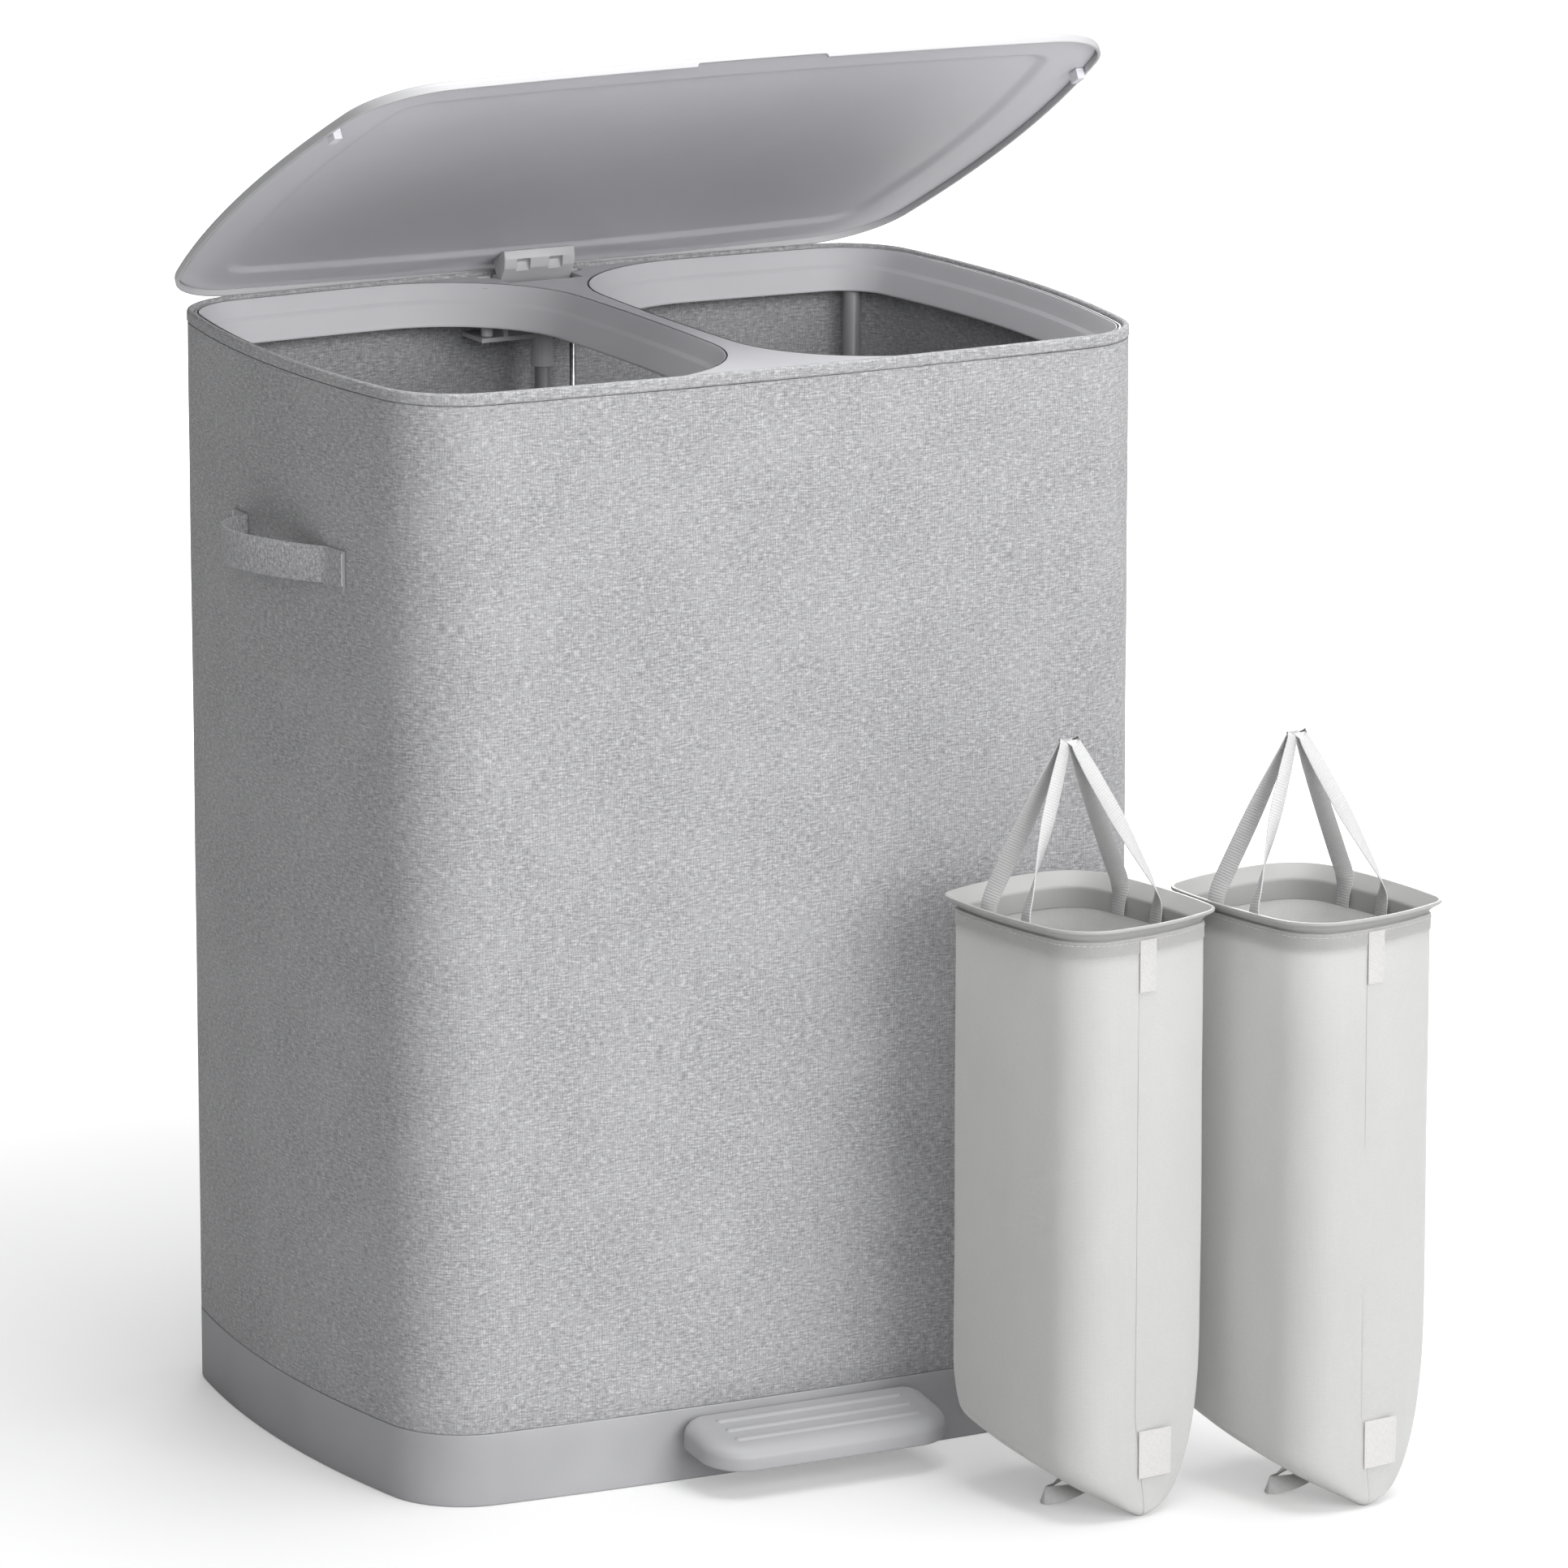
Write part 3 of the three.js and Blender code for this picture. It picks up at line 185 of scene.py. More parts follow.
def opening_sides(border=7 * MM, divider_radius=2.0, divider_fillet=88 * MM):
    """The right opening: ends and outer side follow the body, the inner side is the divider."""
    s = bpy.context.scene.hamper_sizes
    body = body_sides()
    outer = s.corner_radius - border
    divider = Vector((s.divider_width / 2 + divider_radius, 0))
    return [
        {"centre": body[0]["centre"], "radius": s.front_radius - border, "fillet": outer},
        {"centre": body[1]["centre"], "radius": s.flank_radius - border, "fillet": outer},
        {"centre": body[2]["centre"], "radius": s.front_radius - border, "fillet": divider_fillet},
        {"centre": divider, "radius": divider_radius, "fillet": divider_fillet},
    ]


def bag_sides():
    s = bpy.context.scene.bag_sizes
    sides = bulged_sides(s.width, s.depth, BAG_END_RADIUS, BAG_FLANK_RADIUS, BAG_CORNER)
    for blunt in (1, 3):
        sides[blunt]["fillet"] = BLUNT_CORNER
    return sides


def rounded(corners, closed=False):
    """A profile of (inset, height, radius) corners with each corner rounded."""
    points = []
    count = len(corners)
    for i, (x, z, radius) in enumerate(corners):
        here = Vector((x, z))
        if radius <= 0 or (not closed and i in (0, count - 1)):
            points.append(here)
            continue
        before = Vector(corners[i - 1][:2]) - here
        after = Vector(corners[(i + 1) % count][:2]) - here
        angle = before.angle(after)
        reach = min(radius / math.tan(angle / 2), before.length * 0.49, after.length * 0.49)
        start, end = here + before.normalized() * reach, here + after.normalized() * reach
        for k in range(ROUND_STEPS + 1):
            t = k / ROUND_STEPS
            points.append(start * (1 - t) ** 2 + here * 2 * t * (1 - t) + end * t * t)
    return [(p.x, p.y) for p in points]


def divided(points, span):
    """A profile with its long straight runs divided, so that no run is longer than span."""
    result = [points[0]]
    for (x0, z0), (x1, z1) in zip(points, points[1:]):
        parts = max(1, math.ceil(math.hypot(x1 - x0, z1 - z0) / span))
        result += [(x0 + (x1 - x0) * k / parts, z0 + (z1 - z0) * k / parts) for k in range(1, parts + 1)]
    return result


def path_length(points, closed=False):
    """Length of the way through the points, and back to the first if it is closed."""
    return sum((a - b).length for a, b in zip(points, points[1:] + points[:1] if closed else points[1:]))


def heading(path, i):
    """Direction of a path at its point i."""
    return (path[min(i + 1, len(path) - 1)] - path[max(i - 1, 0)]).normalized()


def ring(points, z):
    return [Vector((p.x, p.y, z)) for p in points]


def carried(sides, profile):
    return [ring(outline(sides, inset), z) for inset, z in profile]


# Meshes

def mesh_object(name, verts, faces, uvs=None, crease=35):
    mesh = bpy.data.meshes.new(name)
    mesh.from_pydata([tuple(v) for v in verts], [], faces)
    if uvs:
        layer = mesh.uv_layers.new(name="surface")
        layer.data.foreach_set("uv", [c for uv in uvs for c in uv])
    mesh.validate()
    mesh.shade_smooth()
    mesh.set_sharp_from_angle(angle=math.radians(crease))
    obj = bpy.data.objects.new(name, mesh)
    bpy.context.scene.collection.objects.link(obj)
    return obj


def lofted(name, rings, wrap=False, caps=False, open_ring=False, crease=35):
    """Skin over rings of like length, with UVs in metres along and across the rings."""
    count = len(rings[0])
    widest = max(rings, key=lambda r: sum((r[i] - r[i - 1]).length for i in range(count)))
    along = [0.0]
    for i in range(count):
        along.append(along[-1] + (widest[(i + 1) % count] - widest[i]).length)
    across = [0.0]
    for low, high in zip(rings, rings[1:] + rings[:1]):
        across.append(across[-1] + sum((b - a).length for a, b in zip(low, high)) / count)
    verts = [v for r in rings for v in r]
    faces, uvs = [], []
    for k in range(len(rings) if wrap else len(rings) - 1):
        low, high = k * count, (k + 1) % len(rings) * count
        for i in range(count - 1 if open_ring else count):
            j = (i + 1) % count
            faces.append((low + i, low + j, high + j, high + i))
            uvs += [(along[i], across[k]), (along[i + 1], across[k]),
                    (along[i + 1], across[k + 1]), (along[i], across[k + 1])]
    if caps:
        last = (len(rings) - 1) * count
        for cap in (list(range(count))[::-1], [last + i for i in range(count)]):
            faces.append(tuple(cap))
            uvs += [(verts[i].x, verts[i].y) for i in cap]
    return mesh_object(name, verts, faces, uvs, crease)


def rod(name, start, end, diameter, chamfer=0.6 * MM):
    """Round rod from start to end, with a chamfer at both ends."""
    start, end = Vector(start), Vector(end)
    axis = (end - start).normalized()
    side = axis.orthogonal().normalized()
    other = axis.cross(side)
    reach = (end - start).length
    rings = []
    for distance, radius in ((0, diameter / 2 - chamfer), (chamfer, diameter / 2),
                             (reach - chamfer, diameter / 2), (reach, diameter / 2 - chamfer)):
        centre = start + axis * distance
        turns = [math.tau * i / ROD_STEPS for i in range(ROD_STEPS)]
        rings.append([centre + (side * math.cos(a) + other * math.sin(a)) * radius for a in turns])
    return lofted(name, rings, caps=True, crease=50)


def circle(x, y, z, radius):
    """Points of a level circle."""
    turns = [math.tau * i / ROD_STEPS for i in range(ROD_STEPS)]
    return [Vector((x + radius * math.cos(a), y + radius * math.sin(a), z)) for a in turns]


def tube(name, x, y, low, high, diameter, wall):
    """Upright round tube, open at both ends."""
    outer, inner, edge = diameter / 2, diameter / 2 - wall, 0.3 * MM
    profile = ((inner, low), (outer - edge, low), (outer, low + edge), (outer, high - edge),
               (outer - edge, high), (inner, high))
    rings = [circle(x, y, z, radius) for radius, z in profile]
    return lofted(name, rings, wrap=True, crease=50)


def swept(name, centres, acrosses, normals, width, thickness, round_edge=0.45):
    """A flat ribbon along centres, with its own width and normal directions at each of them."""
    rings = []
    for centre, across, normal in zip(centres, acrosses, normals):
        half, depth = width / 2, thickness / 2
        edge = depth * round_edge
        corners = ((-half + edge, -depth), (half - edge, -depth), (half, -depth + edge), (half, depth - edge),
                   (half - edge, depth), (-half + edge, depth), (-half, depth - edge), (-half, -depth + edge))
        rings.append([centre + across * x + normal * z for x, z in corners])
    return lofted(name, rings, caps=True, crease=50)


def prism(name, corners, low, high, axis="Z"):
    """A polygon of 2D corners drawn out along an axis, from low to high."""
    def point(a, b, c):
        return Vector((a, b, c)) if axis == "Z" else Vector((c, a, b))
    count = len(corners)
    verts = [point(a, b, low) for a, b in corners] + [point(a, b, high) for a, b in corners]
    faces = [(i, (i + 1) % count, count + (i + 1) % count, count + i) for i in range(count)]
    faces += [tuple(range(count))[::-1], tuple(range(count, 2 * count))]
    obj = mesh_object(name, verts, faces)
    faced_out(obj)
    return obj


def block(name, low, high):
    corners = ((low[0], low[1]), (high[0], low[1]), (high[0], high[1]), (low[0], high[1]))
    return prism(name, corners, low[2], high[2])


def with_mesh(obj, change):
    bm = bmesh.new()
    bm.from_mesh(obj.data)
    change(bm)
    bm.to_mesh(obj.data)
    bm.free()
    obj.data.update()


def faced_out(obj):
    """Turns all faces of a closed mesh outwards."""
    with_mesh(obj, lambda bm: bmesh.ops.recalc_face_normals(bm, faces=bm.faces))


def applied(obj, crease=35):
    """Bakes the object's modifiers into its mesh."""
    evaluated = obj.evaluated_get(bpy.context.evaluated_depsgraph_get())
    mesh = bpy.data.meshes.new_from_object(evaluated)
    old = obj.data
    obj.modifiers.clear()
    obj.data = mesh
    bpy.data.meshes.remove(old)
    mesh.shade_smooth()
    mesh.set_sharp_from_angle(angle=math.radians(crease))
    return obj


def carved(obj, tools, operation="DIFFERENCE", crease=35):
    """Cuts the tools out of the object, or joins them to it, and removes the tools."""
    for tool in tools:
        modifier = obj.modifiers.new("carve", "BOOLEAN")
        modifier.object = tool
        modifier.operation = operation
        modifier.solver = "EXACT"
    applied(obj, crease)
    for tool in tools:
        bpy.data.objects.remove(tool)
    return obj


def eased(obj, width, segments=3, angle=35):
    """Rounds the object's edges."""
    modifier = obj.modifiers.new("ease", "BEVEL")
    modifier.width = width
    modifier.segments = segments
    modifier.limit_method = "ANGLE"
    modifier.angle_limit = math.radians(angle)
    modifier.harden_normals = False
    return applied(obj, 50)


def gathered(name, parts):
    """Joins several meshes into one piece."""
    bm = bmesh.new()
    for part in parts:
        bm.from_mesh(part.data)
    mesh = bpy.data.meshes.new(name)
    bm.to_mesh(mesh)
    bm.free()
    for part in parts:
        bpy.data.objects.remove(part)
    mesh.set_sharp_from_angle(angle=math.radians(40))
    obj = bpy.data.objects.new(name, mesh)
    bpy.context.scene.collection.objects.link(obj)
    return obj


def uneven(obj, amount, grain, seed=0.0):
    """Moves each vertex along its normal by smooth noise, as board and cloth are never quite even."""
    normals = [v.normal.copy() for v in obj.data.vertices]
    for vertex, normal in zip(obj.data.vertices, normals):
        value = noise.noise(vertex.co / grain + Vector((seed, seed * 2, seed * 3)))
        vertex.co += normal * amount * value
    obj.data.update()
    return obj


# Materials

def add_node(tree, kind, settings=None, inputs=None):
    """Adds a node with its settings, and its inputs as values or as links from other nodes."""
    node = tree.nodes.new(kind)
    for name, value in (settings or {}).items():
        setattr(node, name, value)
    for name, value in (inputs or {}).items():
        if isinstance(value, bpy.types.NodeSocket):
            tree.links.new(value, node.inputs[name])
        else:
            node.inputs[name].default_value = value
    return node


def new_material(name, roughness, metallic=0.0, ior=1.5, sheen=0.0, coat=0.0):
    """An empty material and its shader, with the constants set on the shader's own sockets."""
    material = bpy.data.materials.new(name)
    material.use_nodes = True
    tree = material.node_tree
    tree.nodes.clear()
    shader = add_node(tree, "ShaderNodeBsdfPrincipled", inputs={
        "Roughness": roughness, "Metallic": metallic, "IOR": ior,
        "Sheen Weight": sheen, "Sheen Roughness": 0.5, "Coat Weight": coat, "Coat Roughness": 0.2})
    add_node(tree, "ShaderNodeOutputMaterial", inputs={"Surface": shader.outputs["BSDF"]})
    return material, tree, shader


def object_place(tree):
    return add_node(tree, "ShaderNodeTexCoord").outputs["Object"]


def surface_uv(tree):
    return add_node(tree, "ShaderNodeUVMap", {"uv_map": "surface"}).outputs["UV"]


def shaded(main, share):
    """A colour at a share of its brightness, up to white."""
    return tuple(min(1.0, c * share) for c in main[:3]) + (1.0,)


def stretched_noise(tree, coordinates, along, across, detail=2.0, third=None):
    """Noise whose grains are along by across in metres."""
    size = (1 / along, 1 / across, 1 / (third or across))
    placed = add_node(tree, "ShaderNodeMapping", inputs={"Vector": coordinates, "Scale": size})
    return add_node(tree, "ShaderNodeTexNoise", inputs={
        "Vector": placed.outputs["Vector"], "Scale": 1.0, "Detail": detail, "Roughness": 0.6}).outputs["Fac"]


def remapped(tree, value, low, high, to_low=0.0, to_high=1.0):
    node = add_node(tree, "ShaderNodeMapRange", {"interpolation_type": "SMOOTHSTEP"}, {
        "Value": value, "From Min": low, "From Max": high, "To Min": to_low, "To Max": to_high})
    return node.outputs["Result"]


def sums(tree, operation, a, b):
    node = add_node(tree, "ShaderNodeMath", {"operation": operation}, {0: a, 1: b})
    return node.outputs["Value"]


def blended(tree, factor, first, second, kind="MIX"):
    node = add_node(tree, "ShaderNodeMix", {"data_type": "RGBA", "blend_type": kind}, {
        "Factor": factor, 6: first, 7: second})
    return node.outputs[2]


def bumped(tree, shader, height, distance, strength=1.0):
    bump = add_node(tree, "ShaderNodeBump", inputs={
        "Height": height, "Distance": distance, "Strength": strength})
    tree.links.new(bump.outputs["Normal"], shader.inputs["Normal"])


def threads(tree, coordinates, pitch_along, pitch_across):
    """Plain weave: over and under threads at the pitches given, from 0 in the gaps to 1 on the crowns."""
    split = add_node(tree, "ShaderNodeSeparateXYZ", inputs={"Vector": coordinates})
    waves = []
    for axis, pitch in (("X", pitch_along), ("Y", pitch_across)):
        turns = sums(tree, "MULTIPLY", split.outputs[axis], math.pi / pitch)
        waves.append(add_node(tree, "ShaderNodeMath", {"operation": "SINE"}, {0: turns}).outputs["Value"])
    crossed = sums(tree, "MULTIPLY", *waves)
    crowns = sums(tree, "MULTIPLY", *[sums(tree, "ABSOLUTE", wave, 0.0) for wave in waves])
    return crossed, crowns


def woven_polyester(name, main, shade, pale, pitch=1.5 * MM, slub=5 * MM, contrast=1.0):
    """Polyester woven from mixed threads, as linen is: matt, heathered, with slubs along both threads.
    The real threads lie 0.35 mm apart, too fine to show, and are drawn 1.5 mm apart, the slubs 1.1 mm wide."""
    material, tree, shader = new_material(name, 0.92, sheen=0.15)
    uv = surface_uv(tree)
    wander = add_node(tree, "ShaderNodeTexNoise", inputs={"Vector": uv, "Scale": 40.0, "Detail": 2.0})
    shift = add_node(tree, "ShaderNodeVectorMath", {"operation": "MULTIPLY_ADD"}, {
        0: wander.outputs["Color"], 1: (0.004, 0.004, 0.0), 2: uv}).outputs["Vector"]
    weft = stretched_noise(tree, shift, slub, 1.1 * MM)
    warp = stretched_noise(tree, shift, 1.1 * MM, slub)
    cloud = stretched_noise(tree, uv, 60 * MM, 60 * MM, 3.0)
    mixed = sums(tree, "ADD", sums(tree, "MULTIPLY", weft, 0.62), sums(tree, "MULTIPLY", warp, 0.38))
    dark = remapped(tree, mixed, 0.49, 0.38, 0.0, 0.8 * contrast)
    light = remapped(tree, mixed, 0.51, 0.62, 0.0, 0.75 * contrast)
    crossed, crowns = threads(tree, shift, pitch, pitch)
    tone = blended(tree, dark, main, shade)
    tone = blended(tree, light, tone, pale)
    tone = blended(tree, remapped(tree, crossed, -0.6, 0.8, 0.0, 0.16), tone, shade)
    tone = blended(tree, remapped(tree, cloud, 0.35, 0.7, 0.0, 0.14), tone, pale)
    tree.links.new(tone, shader.inputs["Base Color"])
    height = sums(tree, "ADD", sums(tree, "MULTIPLY", crowns, 0.5), mixed)
    bumped(tree, shader, height, 0.35 * MM, 0.6)
    return material


def moulded_polypropylene(name, main, roughness=0.5, grain=0.7 * MM, depth=0.04 * MM, mottle=0.05):
    """Injection-moulded polypropylene from a spark-eroded mould: an even, satin surface with a fine
    leather-like grain, slightly cloudy in colour. The real grain is 0.1 mm and is drawn coarser."""
    material, tree, shader = new_material(name, roughness, ior=1.49)
    place = object_place(tree)
    grains = add_node(tree, "ShaderNodeTexNoise", inputs={
        "Vector": place, "Scale": 1 / grain, "Detail": 2.0, "Roughness": 0.55}).outputs["Fac"]
    cloud = add_node(tree, "ShaderNodeTexNoise", inputs={
        "Vector": place, "Scale": 9.0, "Detail": 3.0}).outputs["Fac"]
    deeper = shaded(main, 1 - mottle * 2)
    tone = blended(tree, remapped(tree, cloud, 0.3, 0.7, 0.0, 1.0), deeper, main)
    tone = blended(tree, remapped(tree, grains, 0.35, 0.65, 0.0, mottle * 2), tone, deeper)
    tree.links.new(tone, shader.inputs["Base Color"])
    uneven_gloss = remapped(tree, cloud, 0.3, 0.7, roughness - 0.04, roughness + 0.05)
    tree.links.new(uneven_gloss, shader.inputs["Roughness"])
    bumped(tree, shader, grains, depth, 0.5)
    return material


def plated_steel(name, main, roughness=0.28):
    """Zinc-plated steel, drawn bright: a grey metal with fine marks along the drawing direction."""
    material, tree, shader = new_material(name, roughness, metallic=1.0)
    place = object_place(tree)
    marks = stretched_noise(tree, place, 0.3 * MM, 0.3 * MM, 3.0, 12 * MM)
    blotch = stretched_noise(tree, place, 7 * MM, 7 * MM, 2.0)
    darker = shaded(main, 0.72)
    tone = blended(tree, remapped(tree, blotch, 0.35, 0.65), darker, main)
    tree.links.new(tone, shader.inputs["Base Color"])
    gloss = remapped(tree, marks, 0.3, 0.7, roughness - 0.08, roughness + 0.14)
    tree.links.new(gloss, shader.inputs["Roughness"])
    bumped(tree, shader, marks, 0.02 * MM, 0.4)
    return material


def enamelled_tube(name, main):
    """Steel tube with baked enamel: smooth, half gloss, with a very slight orange peel."""
    material, tree, shader = new_material(name, 0.38, coat=0.15)
    place = object_place(tree)
    peel = stretched_noise(tree, place, 2 * MM, 2 * MM, 1.0)
    darker = shaded(main, 0.9)
    tree.links.new(blended(tree, peel, darker, main), shader.inputs["Base Color"])
    bumped(tree, shader, peel, 0.05 * MM, 0.3)
    return material


def coated_bag_cloth(name, main):
    """Tightly woven polyester with a coated back: nearly smooth, matt, with faint threads and a slight
    cloudiness, darker in tall soft patches that are painted shade of its folds. It is thin, so light comes
    through to its shaded sides. Its threads lie 0.2 mm apart and are drawn 1.2 mm apart."""
    material, tree, shader = new_material(name, 0.8, sheen=0.1)
    shader.inputs["Subsurface Weight"].default_value = 0.5
    shader.inputs["Subsurface Radius"].default_value = (1.0, 1.0, 1.0)
    shader.inputs["Subsurface Scale"].default_value = 12 * MM
    uv = surface_uv(tree)
    _, crowns = threads(tree, uv, 1.2 * MM, 1.2 * MM)
    flecks = stretched_noise(tree, uv, 3 * MM, 0.8 * MM)
    cloud = stretched_noise(tree, uv, 45 * MM, 90 * MM, 3.0)
    darker = shaded(main, 0.9)
    tone = blended(tree, remapped(tree, flecks, 0.3, 0.7, 0.0, 0.45), main, darker)
    # Painted shade: tall soft patches drawn darker, standing for the shade of the cloth's folds.
    tone = blended(tree, remapped(tree, cloud, 0.35, 0.65, 0.0, 0.35), tone, darker)
    tree.links.new(tone, shader.inputs["Base Color"])
    bumped(tree, shader, sums(tree, "ADD", crowns, cloud), 0.12 * MM, 0.35)
    return material


def woven_tape(name, main, rib=1.6 * MM, slope=0.0, back=None):
    """Narrow-loom webbing or tape: ribs across its length and a firm selvedge, slightly silky. A ribbon's
    back, drawn greyer than its face as painted shade, lies on the first half of the way round it."""
    material, tree, shader = new_material(name, 0.7, sheen=0.2)
    uv = surface_uv(tree)
    split = add_node(tree, "ShaderNodeSeparateXYZ", inputs={"Vector": uv})
    slanted = sums(tree, "ADD", split.outputs["Y"], sums(tree, "MULTIPLY", split.outputs["X"], slope))
    turns = sums(tree, "MULTIPLY", slanted, math.tau / rib)
    ribs = add_node(tree, "ShaderNodeMath", {"operation": "SINE"}, {0: turns}).outputs["Value"]
    flecks = stretched_noise(tree, uv, 0.9 * MM, 3 * MM)
    darker = shaded(main, 0.82)
    # The greyer back is painted shade, standing for the shade that falls on the straps' rear legs.
    if back:
        width = bpy.context.scene.bag_sizes.strap_width
        main = blended(tree, sums(tree, "LESS_THAN", split.outputs["X"], width), main, back)
    tone = blended(tree, remapped(tree, ribs, -1.0, 1.0, 0.3, 0.0), main, darker)
    tone = blended(tree, remapped(tree, flecks, 0.35, 0.7, 0.0, 0.4), tone, darker)
    tree.links.new(tone, shader.inputs["Base Color"])
    bumped(tree, shader, sums(tree, "ADD", ribs, flecks), 0.12 * MM, 0.5)
    return material


def soft_rubber(name, main):
    """Moulded rubber: dull, with a dusty bloom."""
    material, tree, shader = new_material(name, 0.85)
    place = object_place(tree)
    bloom = stretched_noise(tree, place, 3 * MM, 3 * MM, 3.0)
    paler = shaded(main, 1.25)
    tree.links.new(blended(tree, bloom, main, paler), shader.inputs["Base Color"])
    bumped(tree, shader, bloom, 0.05 * MM, 0.3)
    return material


finishes = {}


def make_finishes():
    c = bpy.context.scene.hamper_colours
    get = {name: tuple(getattr(c, name)) for name in c.__annotations__}
    finishes.update({
        "sleeve": woven_polyester("Woven polyester, heathered", get["sleeve"],
                                  get["sleeve_shade"], get["sleeve_pale"]),
        "webbing": woven_polyester("Woven polyester webbing", get["sleeve"], get["sleeve_shade"],
                                   get["sleeve_pale"], 1.3 * MM, 3 * MM, 1.1),
        "base": moulded_polypropylene("Textured polypropylene, base", get["base"],
                                      0.55, 1.3 * MM, 0.06 * MM, 0.08),
        "pedal": moulded_polypropylene("Textured polypropylene, pedal", get["base"],
                                       0.5, 1.1 * MM, 0.05 * MM),
        "frame": moulded_polypropylene("Satin polypropylene, frame", get["frame"],
                                       0.42, 0.6 * MM, 0.02 * MM, 0.02),
        "lid": moulded_polypropylene("Satin polypropylene, lid shell", get["lid"],
                                     0.36, 0.6 * MM, 0.015 * MM, 0.02),
        "liner": moulded_polypropylene("Satin polypropylene, lid liner", get["liner"],
                                       0.48, 0.6 * MM, 0.02 * MM, 0.02),
        "hinge": moulded_polypropylene("Acetal, hinge block", get["hinge"],
                                       0.38, 0.5 * MM, 0.01 * MM, 0.02),
        "pole": enamelled_tube("Enamelled steel tube", get["pole"]),
        "steel": plated_steel("Zinc-plated steel", get["steel"]),
        "bag": coated_bag_cloth("Coated polyester bag cloth", get["bag"]),
        "bag_rim": moulded_polypropylene("Satin polypropylene, bag rim", get["bag_rim"],
                                         0.42, 0.5 * MM, 0.01 * MM, 0.02),
        # The straps' greyer back is painted shade.
        "strap": woven_tape("Woven polyester ribbon", get["strap"], back=get["strap_back"]),
        "loop": woven_tape("Woven polyester webbing, loop", get["strap"]),
        "label": woven_tape("Satin-woven label tape", get["label"], 1.2 * MM, 0.4),
        "thread": woven_tape("Polyester sewing thread", get["label"], 1.0 * MM, 0.8),
        "rubber": soft_rubber("Soft rubber buffer", get["liner"]),
    })


def dressed(obj, finish, body, slot, *nodes):
    """Gives a piece its material and body, and hides the CAD nodes that it stands for. The slot is not used."""
    obj.data.materials.clear()
    obj.data.materials.append(finishes[finish])
    for polygon in obj.data.polygons:
        polygon.material_index = 0
    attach(obj, body)
    if nodes:
        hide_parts(*nodes)
    return obj


def repainted(node, finish, ease=0.3 * MM):
    """Gives a CAD node that stays a better material and softened edges."""
    obj = frame["nodes"][node]
    for slot in obj.material_slots:
        slot.material = finishes[finish]
    modifier = obj.modifiers.new("ease", "BEVEL")
    modifier.width = ease
    modifier.segments = 2
    modifier.limit_method = "ANGLE"
    modifier.angle_limit = math.radians(40)


# Places that several pieces share

# The frame under the sleeve's rim, its plate, its gap from the outside, and the collars' drop, run and wall
FRAME_DROP, FRAME_PLATE, FRAME_INSET = 2 * MM, 2.4 * MM, 4 * MM
COLLAR_DEPTH, COLLAR_RUN, COLLAR_WALL = 24 * MM, 13 * MM, 2 * MM
# The closed lid over the rim, how far it reaches past the body, and its shell and liner
LID_LIFT, LID_GROW, LID_WALL = 3.4 * MM, 3.4 * MM, 1.5 * MM
LINER_RISE, LINER_WALL, LINER_GAP = 3.5 * MM, 1.2 * MM, 0.3 * MM
# The hinge pin in from the rear and down from the rim
HINGE_INSET, HINGE_DROP = 12 * MM, 7 * MM
ROD_X, ROD_Y = 20.5 * MM, (rod_low[1] + rod_high[1]) / 2
POST_Y = 150 * MM
POLE_X, POLE_Y, POLE_WALL = 206.8 * MM, 152.5 * MM, 1.1 * MM


def hinge_line():
    """Middle of the hinge pin."""
    s = bpy.context.scene.hamper_sizes
    return Vector((0, s.depth / 2 - HINGE_INSET, s.rim_height - HINGE_DROP))


def lid_opened(obj):
    """Turns a piece of the closed lid about the hinge pin to the rest angle."""
    pin = hinge_line()
    turn = Matrix.Rotation(-bpy.context.scene.hamper_sizes.lid_angle, 3, "X")
    for vertex in obj.data.vertices:
        vertex.co = turn @ (vertex.co - pin) + pin
    obj.data.update()
    return obj


class HAMPER_OT_base(bpy.types.Operator):
    """Build the base moulding with its pedal slot, sockets and deck"""
    bl_idname = "hamper.base"
    bl_label = "Base moulding"

    def execute(self, context):
        s = context.scene.hamper_sizes
        sides = body_sides()
        top, deck, ledge = s.base_height, 40.5 * MM, s.sleeve_wall + 0.3 * MM
        wall, hollow, lip, lip_wall = 3 * MM, 38 * MM, 14 * MM, 2.5 * MM
        profile = rounded([
            (wall, hollow, 0), (wall, 0, 0.5 * MM), (0, 0, 1.6 * MM), (0, top, 0.9 * MM),
            (ledge, top, 0.3 * MM), (ledge, top + lip, 0.8 * MM), (ledge + lip_wall, top + lip, 0.8 * MM),
            (ledge + lip_wall, deck, 1.2 * MM), (ledge + 6 * MM, deck, 0)])
        shell = lofted("base_moulding", carried(sides, divided(profile, 8 * MM)), caps=True)
        slot_half, slot_low, slot_high = 25.2 * MM, 19.1 * MM, 35.7 * MM
        slot = block("slot_tool", (-slot_half, -s.depth / 2 - MM, slot_low),
                     (slot_half, -s.depth / 2 + 5 * MM, slot_high))
        eased(slot, 1.5 * MM, 3)
        hole_low, hole_high, hole_bore = 36 * MM, 42 * MM, 6 * MM
        hole = rod("hole_tool", (ROD_X, ROD_Y, hole_low), (ROD_X, ROD_Y, hole_high), hole_bore)
        carved(shell, [slot, hole])
        pole_bore, post_bore, socket_height = 11.6 * MM, 9.6 * MM, 22 * MM
        feet = [(x, y, pole_bore) for x in (-POLE_X, POLE_X) for y in (-POLE_Y, POLE_Y)]
        feet.append((0, POST_Y, post_bore))
        sockets = [socket(f"base_socket_{i}", x, y, bore, deck, deck + socket_height)
                   for i, (x, y, bore) in enumerate(feet)]
        piece = gathered("base_moulding_with_sockets", [shell, *sockets])
        dressed(piece, "base", "hamper", "pale_plastic", "base_shell")
        repainted("bottom_cover", "base")
        return {"FINISHED"}


